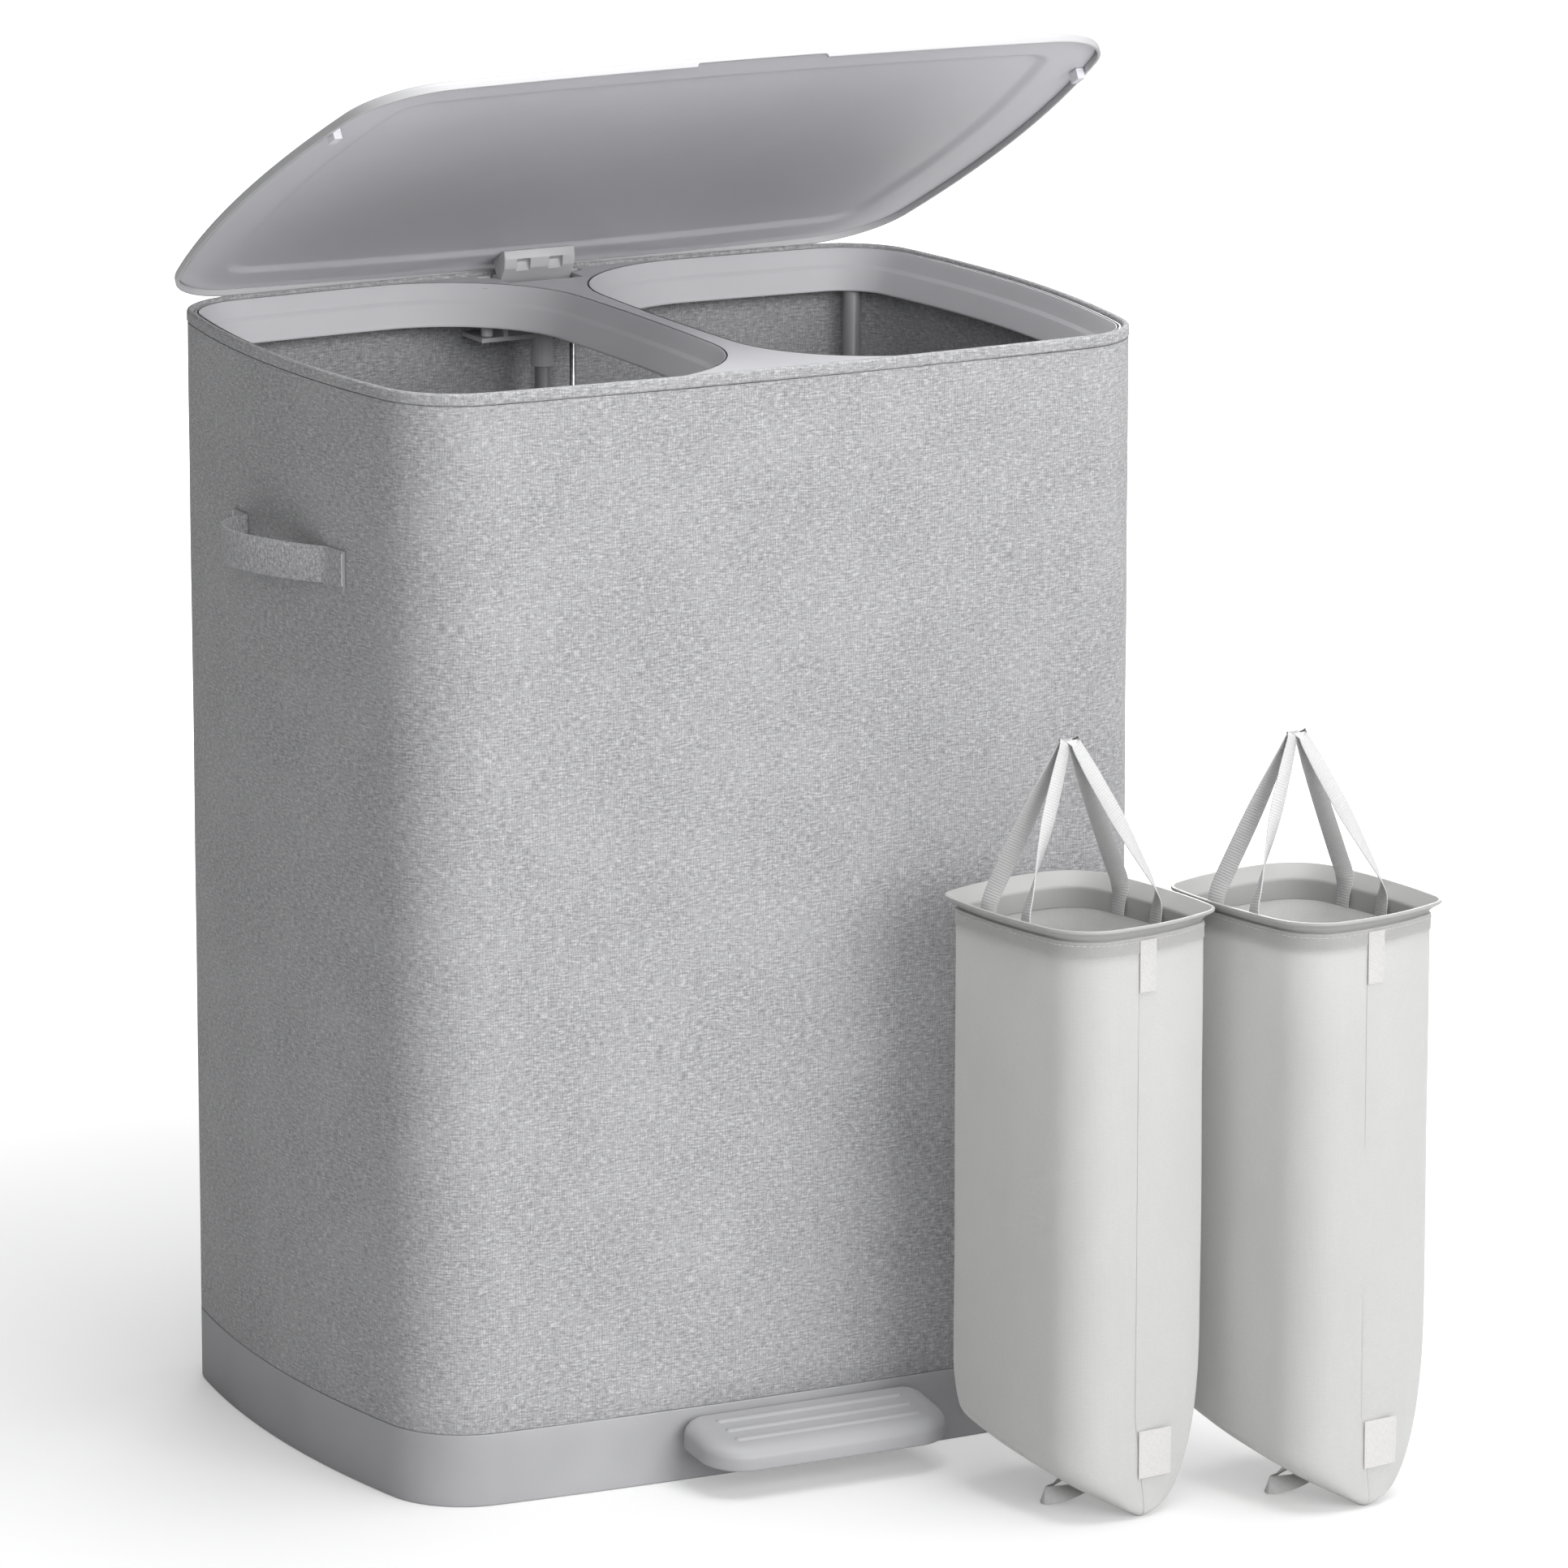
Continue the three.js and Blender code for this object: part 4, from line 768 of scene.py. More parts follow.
def socket(name, x, y, bore, low, high, wall=1.8 * MM):
    """Upright round socket, from its foot at low to its open end at high, which may lie below it."""
    inner, outer = bore / 2, bore / 2 + wall
    way = 1 if high > low else -1
    edge, foot = 0.5 * MM, MM
    profile = ((outer + foot, low), (outer, low + way * foot), (outer, high - way * edge),
               (outer - edge, high), (inner + edge / 2, high), (inner, high - way * edge),
               (inner, low + way * foot))
    made = lofted(name, [circle(x, y, z, radius) for radius, z in profile], wrap=True)
    faced_out(made)
    return made


class HAMPER_OT_sleeve(bpy.types.Operator):
    """Build the woven sleeve and its bound rim"""
    bl_idname = "hamper.sleeve"
    bl_label = "Woven sleeve"

    def execute(self, context):
        s = context.scene.hamper_sizes
        sides = body_sides()
        low, high = s.base_height + 0.3 * MM, s.rim_height - 7.3 * MM
        outside = divided([(0, low), (0, high)], 14 * MM)
        inside = divided([(s.sleeve_wall, high), (s.sleeve_wall, low)], 14 * MM)
        eased_foot = [(0.5 * MM, low), (0.1 * MM, low + 0.6 * MM)]
        rings = carried(sides, eased_foot + outside[1:] + inside)
        sleeve = lofted("woven_sleeve", rings, wrap=True)
        uneven(sleeve, 0.3 * MM, 70 * MM)
        dressed(sleeve, "sleeve", "hamper", "sleeve_fabric", "fabric_sleeve")
        proud, inner = 0.4 * MM, s.sleeve_wall + 0.4 * MM
        foot = s.rim_height - 7 * MM
        roll = rounded([
            (0.5 * MM, foot, 0), (-proud, foot + 0.9 * MM, 0.6 * MM), (-proud, s.rim_height, 2.2 * MM),
            (inner, s.rim_height, 2.2 * MM), (inner, foot, 0.4 * MM)], closed=True)
        hem = lofted("sleeve_rim_binding", carried(sides, roll), wrap=True)
        dressed(hem, "sleeve", "hamper", "sleeve_fabric", "sleeve_hem")
        return {"FINISHED"}


class HAMPER_OT_handles(bpy.types.Operator):
    """Build the two webbing carry handles with their sewn-down ends"""
    bl_idname = "hamper.handles"
    bl_label = "Carry handles"

    def execute(self, context):
        s = context.scene.hamper_sizes
        width, thickness = 21 * MM, 1.6 * MM
        middle_y, half_span, tab, bulge = -22.5 * MM, 50.5 * MM, 20 * MM, 25 * MM
        z = s.rim_height - 109.5 * MM
        seam_inset, seam_thickness = 1.2 * MM, 0.9 * MM

        def seat(y):
            flank = s.width / 2 - s.flank_radius + math.sqrt(s.flank_radius ** 2 - y * y)
            return Vector((flank + 0.3 * MM + thickness / 2, y, z))
        rear, front = middle_y + half_span, middle_y - half_span
        for side, name in ((-1, "left"), (1, "right")):
            path = [seat(rear + tab - tab * k / 6) for k in range(7)]
            steps = 60
            for i in range(1, steps):
                share = (i / steps) ** 2 * (3 - i / steps) / 2
                point = seat(rear - half_span * 2 * share)
                point.x += bulge * math.sin(math.pi * share ** 0.62) ** 0.8
                path.append(point)
            path += [seat(front - tab * k / 6) for k in range(7)]
            centres, acrosses, normals = [], [], []
            for i, point in enumerate(path):
                along = heading(path, i)
                normal = Vector((-along.y, along.x, 0))
                centres.append(Vector((side * point.x, point.y, point.z)))
                acrosses.append(Vector((0, 0, 1)))
                normals.append(Vector((side * normal.x, normal.y, 0)))
            band = swept(f"webbing_handle_{name}", centres, acrosses, normals, width, thickness)
            faced_out(band)
            dressed(band, "webbing", "hamper", "webbing", f"carry_handle_{name}")
            ends = []
            for k, y in enumerate((rear + tab - seam_inset, front - tab + seam_inset)):
                place = seat(y)
                x = side * (place.x + thickness / 2)
                ends.append(rod(f"end_{name}_{k}", (x, y, z - width / 2 + MM), (x, y, z + width / 2 - MM),
                                seam_thickness, 0.2 * MM))
            line = gathered(f"handle_end_seams_{name}", ends)
            dressed(line, "thread", "hamper", "webbing")
        return {"FINISHED"}


def filled(loops):
    """Triangles of the flat region between an outer loop and the loops inside it."""
    coords, edges = [], []
    for loop in loops:
        start = len(coords)
        coords += [Vector((p.x, p.y)) for p in loop]
        edges += [(start + i, start + (i + 1) % len(loop)) for i in range(len(loop))]
    return delaunay_2d_cdt(coords, edges, [], 2, 1e-7)


def frame_mesh(name):
    """Frame with two openings: plate, skirt and collars as one closed skin."""
    s = bpy.context.scene.hamper_sizes
    top = s.rim_height - FRAME_DROP
    under = top - FRAME_PLATE
    body, right = body_sides(), opening_sides()

    def left_of(loop):
        mirrored = [Vector((-p.x, p.y, p.z)) for p in loop]
        return mirrored[::-1]
    skirt_foot, skirt_in = top - 26 * MM, FRAME_INSET + 2 * MM
    skirt = rounded([
        (FRAME_INSET + 3 * MM, top, 0), (FRAME_INSET + 1.5 * MM, top, 0), (FRAME_INSET, top, 1.1 * MM),
        (FRAME_INSET, skirt_foot, 0.5 * MM), (skirt_in, skirt_foot, 0.5 * MM),
        (skirt_in, under, 0.6 * MM), (FRAME_INSET + 3 * MM, under, 0)])
    step_in, step_z = COLLAR_RUN * 0.45, top - COLLAR_DEPTH * 0.45
    end = (COLLAR_RUN, top - COLLAR_DEPTH)
    collar = rounded([
        (-1.5 * MM, top, 0), (-0.8 * MM, top, 0), (0, top, 1.4 * MM),
        (step_in - 0.9 * MM, step_z + 1.6 * MM, 2 * MM), (step_in + 1.0 * MM, step_z - 0.6 * MM, 2.5 * MM),
        (end[0], end[1] + 1.2 * MM, MM), (*end, 0.5 * MM), (end[0] - COLLAR_WALL, end[1], 0.5 * MM),
        (step_in - COLLAR_WALL, step_z, 1.5 * MM), (-COLLAR_WALL, under, 0.3 * MM),
        (-COLLAR_WALL - 0.5 * MM, under, 0)])
    verts, faces = [], []

    def add_rings(rings, flip=False):
        count = len(rings[0])
        start = len(verts)
        verts.extend(v for r in rings for v in r)
        for k in range(len(rings) - 1):
            for i in range(count):
                j = (i + 1) % count
                a, b = start + k * count, start + (k + 1) * count
                quad = (a + i, a + j, b + j, b + i)
                faces.append(quad[::-1] if flip else quad)
    add_rings(carried(body, divided(skirt, 6 * MM)))
    collar_rings = carried(right, divided(collar, 4 * MM))
    add_rings(collar_rings)
    add_rings([left_of(r) for r in collar_rings])
    for z, outer_inset, inner_inset in ((top, skirt[0][0], collar[0][0]), (under, skirt[-1][0], collar[-1][0])):
        outer, inner = ring(outline(body, outer_inset), z), ring(outline(right, inner_inset), z)
        coords, _, triangles, _, _, _ = filled([outer, inner, left_of(inner)])
        start = len(verts)
        verts.extend(Vector((p.x, p.y, z)) for p in coords)
        faces.extend(tuple(start + i for i in t) for t in triangles)
    obj = mesh_object(name, verts, faces)

    def close(bm):
        bmesh.ops.remove_doubles(bm, verts=bm.verts, dist=1e-6)
        inside = [f for f in bm.faces if in_opening(f, right)]
        bmesh.ops.delete(bm, geom=inside, context="FACES_ONLY")
        bmesh.ops.recalc_face_normals(bm, faces=bm.faces)
    with_mesh(obj, close)
    return obj


def pole_pegs(side, top):
    """Pegs for the two poles of one side, each under a boss that fills the room behind the collar."""
    low = top - COLLAR_DEPTH
    boss_diameter, peg_diameter, peg_foot = 15.2 * MM, 8.2 * MM, 598 * MM
    places = [(side * POLE_X, y) for y in (-POLE_Y, POLE_Y)]
    bosses = [rod("boss", (*place, low), (*place, top - FRAME_PLATE / 2), boss_diameter, 0.4 * MM)
              for place in places]
    pegs = [rod("peg", (*place, peg_foot), (*place, low + 5 * MM), peg_diameter, 1.2 * MM) for place in places]
    bosses = gathered(f"bosses_{side}", bosses)
    half = COLLAR_WALL / 2
    void = carried(opening_sides(), [(COLLAR_RUN - half, low - MM), (COLLAR_RUN - half, low + MM),
                                     (COLLAR_RUN * 0.45 - half, top - COLLAR_DEPTH * 0.45), (-half, top + MM)])
    if side < 0:
        void = [[Vector((-p.x, p.y, p.z)) for p in points][::-1] for points in void]
    carved(bosses, [lofted("void", void, caps=True)], crease=50)
    return gathered(f"pegs_{side}", [bosses, *pegs])


def in_opening(face, sides):
    """True for a flat face that lies over an opening, where the fill has closed it."""
    if abs(face.normal.z) < 0.999:
        return False
    middle = face.calc_center_median()
    if face.calc_area() < 1e-12:
        return True
    point = Vector((abs(middle.x), middle.y))
    hits = 0
    loop = outline(sides, -1.2 * MM)
    for a, b in zip(loop, loop[1:] + loop[:1]):
        if (a.y > point.y) != (b.y > point.y):
            x = a.x + (point.y - a.y) / (b.y - a.y) * (b.x - a.x)
            hits += x > point.x
    return hits % 2 == 1


class HAMPER_OT_top_frame(bpy.types.Operator):
    """Build the top frame with its two collared openings, hinge slot and pegs for the poles"""
    bl_idname = "hamper.top_frame"
    bl_label = "Top frame"

    def execute(self, context):
        s = context.scene.hamper_sizes
        top = s.rim_height - FRAME_DROP
        rear = s.depth / 2
        pin_y = rear - HINGE_INSET
        shell = frame_mesh("frame_moulding")
        slot_half, slot_front = 24.2 * MM, pin_y - 23.2 * MM
        notch_half, notch_reach = 33.2 * MM, 3.2 * MM
        slot = block("slot_tool", (-slot_half, slot_front, top - 30 * MM), (slot_half, rear, top + MM))
        notch = block("notch_tool", (-notch_half, pin_y - notch_reach, s.rim_height - 13.3 * MM),
                      (notch_half, pin_y + notch_reach, top + MM))
        carved(shell, [eased(slot, 1.6 * MM), eased(notch, 0.6 * MM)])
        below = [pole_pegs(side, top) for side in (-1, 1)]
        screw_x, screw_bore, screw_depth = 36 * MM, 3.6 * MM, 31.7 * MM
        for i, x in enumerate((-screw_x, screw_x)):
            below.append(socket(f"screw_socket_{i}", x, POST_Y, screw_bore,
                                top - FRAME_PLATE, top - screw_depth))
        piece = gathered("frame_moulding_with_pegs", [shell, *below])
        dressed(piece, "frame", "hamper", "grey_plastic", "top_frame")
        return {"FINISHED"}


class HAMPER_OT_poles(bpy.types.Operator):
    """Build the corner poles, the middle post and the pins"""
    bl_idname = "hamper.poles"
    bl_label = "Poles and pins"

    def execute(self, context):
        for node in ("pole_front_left", "pole_front_right", "pole_rear_left", "pole_rear_right", "middle_post"):
            low, high = (Vector(v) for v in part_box(node))
            x, y = (low.x + high.x) / 2, (low.y + high.y) / 2
            if node == "middle_post":
                piece = rod(f"round_{node}", (x, y, low.z), (x, y, high.z), high.x - low.x)
            else:
                piece = tube(f"tube_{node}", x, y, low.z, high.z, high.x - low.x, POLE_WALL)
            dressed(piece, "pole", "hamper", "pole_steel", node)
        for node in ("hinge_pin", "pedal_pivot_pin"):
            low, high = (Vector(v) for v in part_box(node))
            y, z = (low.y + high.y) / 2, (low.z + high.z) / 2
            piece = rod(f"round_{node}", (low.x, y, z), (high.x, y, z), high.z - low.z, 0.5 * MM)
            dressed(piece, "steel", "hamper", "bare_steel", node)
        repainted("hinge_bracket", "hinge")
        for node in ("bracket_screw_left", "bracket_screw_right"):
            repainted(node, "steel")
        return {"FINISHED"}


class HAMPER_OT_lid(bpy.types.Operator):
    """Build the lid shell, its set-back liner and its buffers"""
    bl_idname = "hamper.lid"
    bl_label = "Lid"

    def execute(self, context):
        s = context.scene.hamper_sizes
        sides = body_sides()
        bottom = s.rim_height + LID_LIFT
        liner = bottom + LINER_RISE
        inside = liner + LINER_WALL + LINER_GAP
        crest = inside + LID_WALL
        edge, crown, reveal = 3.5 * MM, 7.4 * MM, 1.2 * MM
        skirt = rounded([(-reveal, inside, 0), (-reveal, bottom, 0.7 * MM), (-LID_GROW, bottom, 0.7 * MM),
                         (-LID_GROW, crest - edge, 0)])
        rings = carried(sides, divided(skirt, 2 * MM))
        for k in range(1, 9):
            turn = math.pi / 2 * k / 8
            inset = -LID_GROW + (LID_GROW + 0.5 * MM) * (1 - math.cos(turn))
            rings.append(ring(outline(sides, inset), crest - edge + edge * math.sin(turn)))
        lip = outline(sides, 0.5 * MM)

        def crown_ring(base, share, z):
            return ring([p * (1 - share) for p in base], z)

        def domed(share):
            return crown * (1 - (1 - share) ** 3.3)
        for share in (0.01, 0.03, 0.06, 0.1, 0.15, 0.21, 0.28, 0.36, 0.45, 0.55, 0.66, 0.77, 0.88, 0.96):
            rings.append(crown_ring(lip, share, crest + domed(share)))
        under = [crown_ring(outline(sides, edge), share, inside + domed(share))
                 for share in (0.96, 0.66, 0.36, 0.15, 0.06, 0.0)]
        shell = lofted("lid_top_shell", under + rings, caps=True)
        thumb_half = 41 * MM
        thumb = block("thumb_tool", (-thumb_half, -s.depth / 2 - 8 * MM, bottom - 3 * MM),
                      (thumb_half, -s.depth / 2 + MM, bottom + 2.2 * MM))
        carved(shell, [eased(thumb, 1.8 * MM, 4)])
        lid_opened(shell)
        dressed(shell, "lid", "lid", "lid_plastic", "lid_shell")

        border, soft, recess = 26 * MM, 9 * MM, 2.2 * MM
        profile = [(-reveal + LINER_GAP, liner + 0.5 * MM), (-reveal + LINER_GAP + 0.5 * MM, liner)]
        profile += [(border - 4 * MM, liner), (border - MM, liner)]
        for k in range(1, 9):
            t = k / 8
            profile.append((border + soft * t, liner + recess * (3 - 2 * t) * t * t))
        profile.append((border + soft + 4 * MM, liner + recess))
        rings = carried(sides, profile)
        panel = outline(sides, border + soft + 4 * MM)
        shrinks = (0.2, 0.45, 0.7, 0.94)
        rings += [crown_ring(panel, share, liner + recess) for share in shrinks]
        back = [[point + Vector((0, 0, LINER_WALL)) for point in row] for row in rings[::-1]]
        sheet = lofted("lid_inner_liner", back + rings, caps=True)
        faced_out(sheet)
        lid_opened(sheet)
        dressed(sheet, "liner", "lid", "liner_plastic", "lid_liner")
        for node in ("lid_buffer_left", "lid_buffer_right"):
            repainted(node, "rubber", 0.8 * MM)
        return {"FINISHED"}


class HAMPER_OT_hinge(bpy.types.Operator):
    """Build the hinge block with its two windows and its crank"""
    bl_idname = "hamper.hinge"
    bl_label = "Hinge block"

    def execute(self, context):
        s = context.scene.hamper_sizes
        pin = hinge_line()
        top = s.rim_height + LID_LIFT + LINER_RISE - 0.3 * MM
        hub, front, back = 6.3 * MM, 22 * MM, -5.2 * MM
        corners = [(pin.y - front, top), (pin.y - front + 1.4 * MM, pin.z + hub + 2.2 * MM),
                   (pin.y - front * 0.78, pin.z + hub * 0.6)]
        for i in range(25):
            angle = math.radians(200 + 295 * i / 24)
            corners.append((pin.y + hub * math.cos(angle), pin.z + hub * math.sin(angle)))
        corners.append((pin.y + back, top))
        half = 23 * MM
        body = prism("hinge_knuckle", corners, -half, half, "X")
        eased(body, 0.9 * MM, 3, 25)
        tools = []
        for i, x in enumerate((-10.5 * MM, 10.5 * MM)):
            low, window_half = pin.z + hub * 0.4, 4.5 * MM
            tools.append(eased(block(f"window_{i}", (x - window_half, pin.y - front - MM, low),
                                     (x + window_half, pin.y - front + 7 * MM, low + 6 * MM)), 0.7 * MM))
        tools.append(rod("bore", (-30 * MM, pin.y, pin.z), (30 * MM, pin.y, pin.z), 4.6 * MM, 0.1 * MM))
        carved(body, tools, crease=30)
        closed, crank = math.radians(48), 18 * MM
        eye = Vector((0, pin.y - crank * math.cos(closed), pin.z - crank * math.sin(closed)))
        side = Vector((0, math.sin(closed), -math.cos(closed))) * 3 * MM
        near, far = 10.5 * MM, 14.5 * MM
        edges = (pin - side, eye - side, eye + side, pin + side)
        web = prism("web", [(p.y, p.z) for p in edges], near, far, "X")
        eased(web, 0.4 * MM, 2)
        boss = rod("boss", (near, eye.y, eye.z), (far, eye.y, eye.z), 6 * MM, 0.3 * MM)
        stud_root, stud_tip = 12.5 * MM, 23.5 * MM
        stud = rod("stud", (stud_root, eye.y, eye.z), (stud_tip, eye.y, eye.z), 3 * MM, 0.4 * MM)
        piece = lid_opened(gathered("hinge_knuckle_with_crank", [body, web, boss, stud]))
        dressed(piece, "hinge", "lid", "pale_plastic", "hinge_block")
        return {"FINISHED"}


class HAMPER_OT_linkage(bpy.types.Operator):
    """Build the lifting rod and finish the yoke and the lever"""
    bl_idname = "hamper.linkage"
    bl_label = "Lifting rod and lever"

    def execute(self, context):
        low, high = (Vector(v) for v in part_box("push_rod"))
        piece = rod("lifting_rod_round", (ROD_X, ROD_Y, low.z), (ROD_X, ROD_Y, high.z),
                    high.x - low.x, 0.5 * MM)
        dressed(piece, "steel", "lifting_rod", "bare_steel", "push_rod")
        repainted("rod_yoke", "hinge")
        repainted("pedal_lever", "steel")
        return {"FINISHED"}


class HAMPER_OT_pedal(bpy.types.Operator):
    """Build the pedal tread, which slopes down to the front, with its three ribs"""
    bl_idname = "hamper.pedal"
    bl_label = "Pedal tread"

    def execute(self, context):
        s = context.scene.hamper_sizes
        half_depth = s.depth / 2
        width, reach, corner = 155 * MM, 50 * MM, 24 * MM
        low, top = 21.5 * MM, 38.5 * MM
        shoulder, slope = 8 * MM, 10.5 * MM
        rear_gap, first_rib, rib_pitch = 1.8 * MM, 11 * MM, 12 * MM

        def plan(inset):
            half = width / 2 - inset
            rear = -half_depth - rear_gap - inset * 0.15
            front = -half_depth - 1.2 * MM - reach + inset
            radius = corner - inset
            back = radius / 3
            points = []
            runs = ((-half + radius, front + radius, radius, math.pi),
                    (half - radius, front + radius, radius, 1.5 * math.pi),
                    (half - back, rear - back, back, 0.0), (-half + back, rear - back, back, 0.5 * math.pi))
            for x, y, r, start in runs:
                centre = Vector((x, y))
                points += arc(centre, r, start, start + math.pi / 2, 16)
                end = start + math.pi / 2
                points.append(centre + Vector((math.cos(end), math.sin(end))) * r)
            return points
        foot = ((2.2 * MM, 0.0), (0.9 * MM, 0.3 * MM), (0.2 * MM, 1.0 * MM), (0, 2.2 * MM))
        rings = [ring(plan(inset), low + rise) for inset, rise in foot]
        for k in range(15):
            turn = math.pi / 2 * k / 14
            rings.append(ring(plan(slope * (1 - math.cos(turn))), top + shoulder * (math.sin(turn) - 1)))
        piece = lofted("pedal_pad_with_ribs", rings, caps=True, crease=60)
        ribs = [rib(f"rib_{i}", -half_depth - rear_gap - first_rib - rib_pitch * i, width * 0.38, 1.7 * MM,
                    top, 1.1 * MM) for i in range(3)]
        carved(piece, ribs, "UNION", 50)
        for vertex in piece.data.vertices:
            fall = 0.1 + 0.07 * (vertex.co.z - low) / (top - low)
            vertex.co.z += fall * (vertex.co.y + half_depth)
        pocket_half, pocket_depth, pocket_low, pocket_high = 24.3 * MM, 27.5 * MM, 26.7 * MM, 30.3 * MM
        pocket = block("pocket_tool", (-pocket_half, -half_depth - pocket_depth, pocket_low),
                       (pocket_half, -half_depth, pocket_high))
        carved(piece, [pocket], crease=50)
        dressed(piece, "pedal", "pedal", "pale_plastic", "pedal_tread")
        return {"FINISHED"}


def rib(name, y, half, radius, floor, height):
    """Long raised rib with round ends, moulded on the tread."""
    def stadium(grow, z):
        points = []
        for x, start in ((half - radius, -math.pi / 2), (-half + radius, math.pi / 2)):
            for i in range(13):
                a = start + math.pi * i / 12
                points.append(Vector((x + (radius - grow) * math.cos(a), y + (radius - grow) * math.sin(a), z)))
        return points
    rings = [stadium(-0.9 * MM, floor - 0.6 * MM), stadium(-0.7 * MM, floor + 0.05 * MM),
             stadium(-0.2 * MM, floor + 0.25 * MM), stadium(0.15 * MM, floor + height * 0.7),
             stadium(0.6 * MM, floor + height), stadium(1.3 * MM, floor + height * 1.03)]
    return lofted(name, rings, caps=True, crease=60)


# The two liner bags, drawn about the middle of one bag

BAG_END_RADIUS, BAG_FLANK_RADIUS = 160 * MM, 330 * MM
BAG_CORNER, BLUNT_CORNER = 14 * MM, 34 * MM
RIM_FLARE, FLARE_HEIGHT, RIM_WALL, RIM_COLLAR = 8 * MM, 7.5 * MM, 1.6 * MM, 12 * MM
BAG_INSET, BAG_WALL = 6.4 * MM, 1.3 * MM
# The cloth draws in below these heights on its two flanks, and at its ends by a reach from a height
TAPER_LEFT, TAPER_RIGHT, TAPER_POWER = 34 * MM, 105 * MM, 2.3
ROUND_FRONT, ROUND_REAR = (10 * MM, 10 * MM), (46 * MM, 68 * MM)
RIDGE, RIDGE_RISE = 2 * MM, 29 * MM
# The cloth's ripples across and upright, and the band in which they fade out at its edges
RIPPLE_WIDE, RIPPLE_TALL, CALM_BAND = 0.045, 0.12, 40 * MM
SEAM_X, SEAM_RADIUS = -8 * MM, 0.17 * MM
# Tab and label: left edge, width, foot and top, how proud they lie, and how far the free edge stands off
TAB = (SEAM_X, 11.5 * MM, 306.5 * MM, 336.5 * MM, 0.62 * MM, 0.0)
LABEL = (SEAM_X * 0.75, 22 * MM, 26 * MM, 53 * MM, 0.6 * MM, 2.4 * MM)
LOOP_WIDTH = 10 * MM


def bag_halves():
    s = bpy.context.scene.bag_sizes
    return s.width / 2 - BAG_INSET, s.depth / 2 - BAG_INSET


def left_half(z):
    return RIDGE + (bag_halves()[0] - RIDGE) * math.sin(math.pi / 2 * min(1.0, z / TAPER_LEFT))


def right_half(z):
    empty = max(0.0, 1 - z / TAPER_RIGHT) ** TAPER_POWER
    return RIDGE + (bag_halves()[0] - RIDGE) * (1 - empty) ** (1 / TAPER_POWER)


def end_share(z, rounding):
    """Share of the bag's half depth at a height, where its end rounds off towards the ridge: the rounding
    is how far it draws in at the floor, and the height where it starts."""
    reach, start = rounding
    below = max(0.0, start - z) / start
    return 1 - reach * (1 - math.sqrt(1 - below * below)) / bag_halves()[1]


def climbed(x, y, z):
    """A point of the bag, raised by the ridge's climb from front to rear, which fades out higher up."""
    half_y = bag_halves()[1]
    ridge = RIDGE_RISE * (y + half_y - ROUND_FRONT[0]) / (2 * half_y)
    return Vector((x, y, z + ridge * max(0.0, 1 - z / TAPER_RIGHT)))


def bag_ring(z, wall):
    half_x, half_y = bag_halves()
    left = (left_half(z) - wall) / (half_x - wall)
    right = (right_half(z) - wall) / (half_x - wall)
    front, rear = end_share(z, ROUND_FRONT), end_share(z, ROUND_REAR)
    return [climbed(p.x * (left if p.x < 0 else right), p.y * (front if p.y < 0 else rear), z)
            for p in outline(bag_sides(), BAG_INSET + wall)]


def front_point(x, z, proud):
    """A point on the bag's front at a place across and a height, a little proud of the cloth."""
    half_x, half_y = bag_halves()
    radius = BAG_END_RADIUS - BAG_INSET
    spread = x * half_x / (right_half(z) if x > 0 else left_half(z))
    recess = radius - math.sqrt(radius * radius - spread * spread)
    point = climbed(x, -half_y * end_share(z, ROUND_FRONT) + recess, z)
    return Vector((point.x, point.y - proud, point.z))


def placed(obj, name):
    """Turns a piece that is drawn about the middle of a bag, and moves it to its bag."""
    low, high = (Vector(v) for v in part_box(f"{name}_rim"))
    spot = Vector(((low.x + high.x) / 2, (low.y + high.y) / 2, 0))
    obj.data.transform(Matrix.Translation(spot) @ Matrix.Rotation(bpy.context.scene.bag_sizes.turn, 4, "Z"))
    return obj


class HAMPER_OT_bags(bpy.types.Operator):
    """Build the two liner bags with rims, hems, straps, tabs, labels and loops"""
    bl_idname = "hamper.bags"
    bl_label = "Liner bags"

    def execute(self, context):
        for index, name in enumerate(("bag_a", "bag_b")):
            build_bag(context.scene.bag_sizes, name, index)
        return {"FINISHED"}


